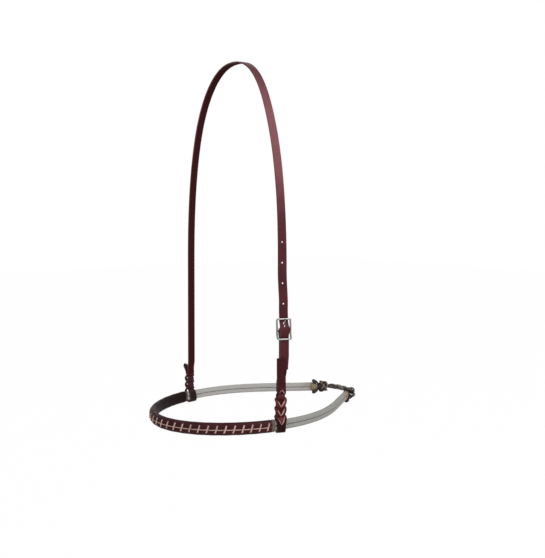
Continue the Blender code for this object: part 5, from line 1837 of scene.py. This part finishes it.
class NOSEBAND_OT_stage(NosebandOperator, Operator):
    """Pale floor and backdrop, soft lamps and the camera"""

    bl_idname = "noseband.stage"
    bl_label = "Stage"

    def execute(self, context):
        settings = self.settings(context).stage
        scene = context.scene
        scene.view_settings.view_transform = "Standard"
        bm = bmesh.new()
        bmesh.ops.create_grid(bm, x_segments=1, y_segments=1, size=FLOOR_HALF_WIDTH)
        bmesh.ops.translate(bm, vec=(0.0, 0.0, -settings.floor_drop), verts=bm.verts)
        floor = mesh_object("floor", bm, [self.floor_paint(tuple(settings.floor))])
        self.add_sky(scene, settings)
        self.add_lamp("key_lamp", KEY_PLACE, settings.key, KEY_SIZE)
        self.add_lamp("fill_lamp", FILL_PLACE, settings.fill, FILL_SIZE)
        camera = bpy.data.cameras.new("camera")
        camera.sensor_fit = "VERTICAL"
        camera.sensor_height = SENSOR_HEIGHT
        camera.lens = CAMERA_LENS
        camera.shift_x, camera.shift_y = CAMERA_SHIFT
        scene.camera = self.aim("camera", camera, CAMERA_PLACE)
        return {"FINISHED"}

    @staticmethod
    def aim(name, data, place):
        """Put a camera or a lamp at a place, and turn it to the middle of the object."""
        holder = bpy.data.objects.new(name, data)
        bpy.context.scene.collection.objects.link(holder)
        holder.location = place
        ahead = Vector(CAMERA_AIM) - Vector(place)
        holder.rotation_euler = ahead.to_track_quat("-Z", "Y").to_euler()
        return holder

    @staticmethod
    def floor_paint(base):
        """Floor that looks nearly white to the camera and still takes a shadow."""
        material, tree, shader = plain_material("floor_paint", base, 0.9)
        rays = add_node(tree, "ShaderNodeLightPath")
        seen = maths(tree, "MULTIPLY", rays.outputs["Is Camera Ray"], FLOOR_GLOW)
        glow = add_node(tree, "ShaderNodeEmission", {"Strength": 1.0})
        mix = add_node(tree, "ShaderNodeMixShader")
        tree.links.new(seen, mix.inputs["Fac"])
        tree.links.new(shader.outputs["BSDF"], mix.inputs[1])
        tree.links.new(glow.outputs["Emission"], mix.inputs[2])
        tree.links.new(mix.outputs["Shader"], tree.nodes["Material Output"].inputs["Surface"])
        return material

    @staticmethod
    def add_sky(scene, settings):
        """Even light that shows white to the camera and in metal."""
        world = bpy.data.worlds.new("sky")
        world.use_nodes = True
        scene.world = world
        tree = world.node_tree
        background = tree.nodes["Background"]
        background.inputs["Color"].default_value = (1.0, 1.0, 1.0, 1.0)
        rays = add_node(tree, "ShaderNodeLightPath")
        shown = rays.outputs["Is Camera Ray"]
        for other in ("Is Glossy Ray", "Is Transmission Ray"):
            shown = maths(tree, "MAXIMUM", shown, rays.outputs[other])
        strength = span(tree, shown, 0.0, 1.0, settings.sky, 1.0)
        if settings.white_sky:
            tree.links.new(strength, background.inputs["Strength"])
        else:
            background.inputs["Strength"].default_value = settings.sky

    def add_lamp(self, name, place, power, size):
        """A square lamp that looks at the middle of the object."""
        lamp = bpy.data.lights.new(name, "AREA")
        lamp.energy = power
        lamp.size = size
        self.aim(name, lamp, place)


# Panel and registering

class NOSEBAND_PT_pieces(Panel):
    """Pieces of the noseband and what may be changed on them"""

    bl_label = "Rope noseband"
    bl_idname = "NOSEBAND_PT_pieces"
    bl_space_type = "VIEW_3D"
    bl_region_type = "UI"
    bl_category = "Noseband"

    def draw(self, context):
        for operator in OPERATORS:
            self.layout.operator(operator.bl_idname)
        settings = context.scene.noseband
        for group in (settings.strap, settings.rope, settings.cover, settings.knot,
                      settings.buckle, settings.stage):
            box = self.layout.box()
            for name in group.__annotations__:
                box.prop(group, name)


SETTINGS = (StrapSettings, RopeSettings, CoverSettings, KnotSettings, BuckleSettings,
            StageSettings, NosebandSettings)
OPERATORS = (NOSEBAND_OT_crown_strap, NOSEBAND_OT_near_cheek_strap, NOSEBAND_OT_buckle,
             NOSEBAND_OT_ropes, NOSEBAND_OT_cover, NOSEBAND_OT_lacing, NOSEBAND_OT_bindings,
             NOSEBAND_OT_rope_ends, NOSEBAND_OT_end_knots, NOSEBAND_OT_link,
             NOSEBAND_OT_stage)
CLASSES = SETTINGS + OPERATORS + (NOSEBAND_PT_pieces,)


def register():
    """Register the settings, operators and panel."""
    for item in CLASSES:
        bpy.utils.register_class(item)
    bpy.types.Scene.noseband = PointerProperty(type=NosebandSettings)


def unregister():
    """Remove what register added."""
    del bpy.types.Scene.noseband
    for item in reversed(CLASSES):
        bpy.utils.unregister_class(item)


def main():
    """Make every piece and the stage."""
    register()
    for operator in OPERATORS:
        group, name = operator.bl_idname.split(".")
        getattr(getattr(bpy.ops, group), name)()


if __name__ == "__main__":
    main()
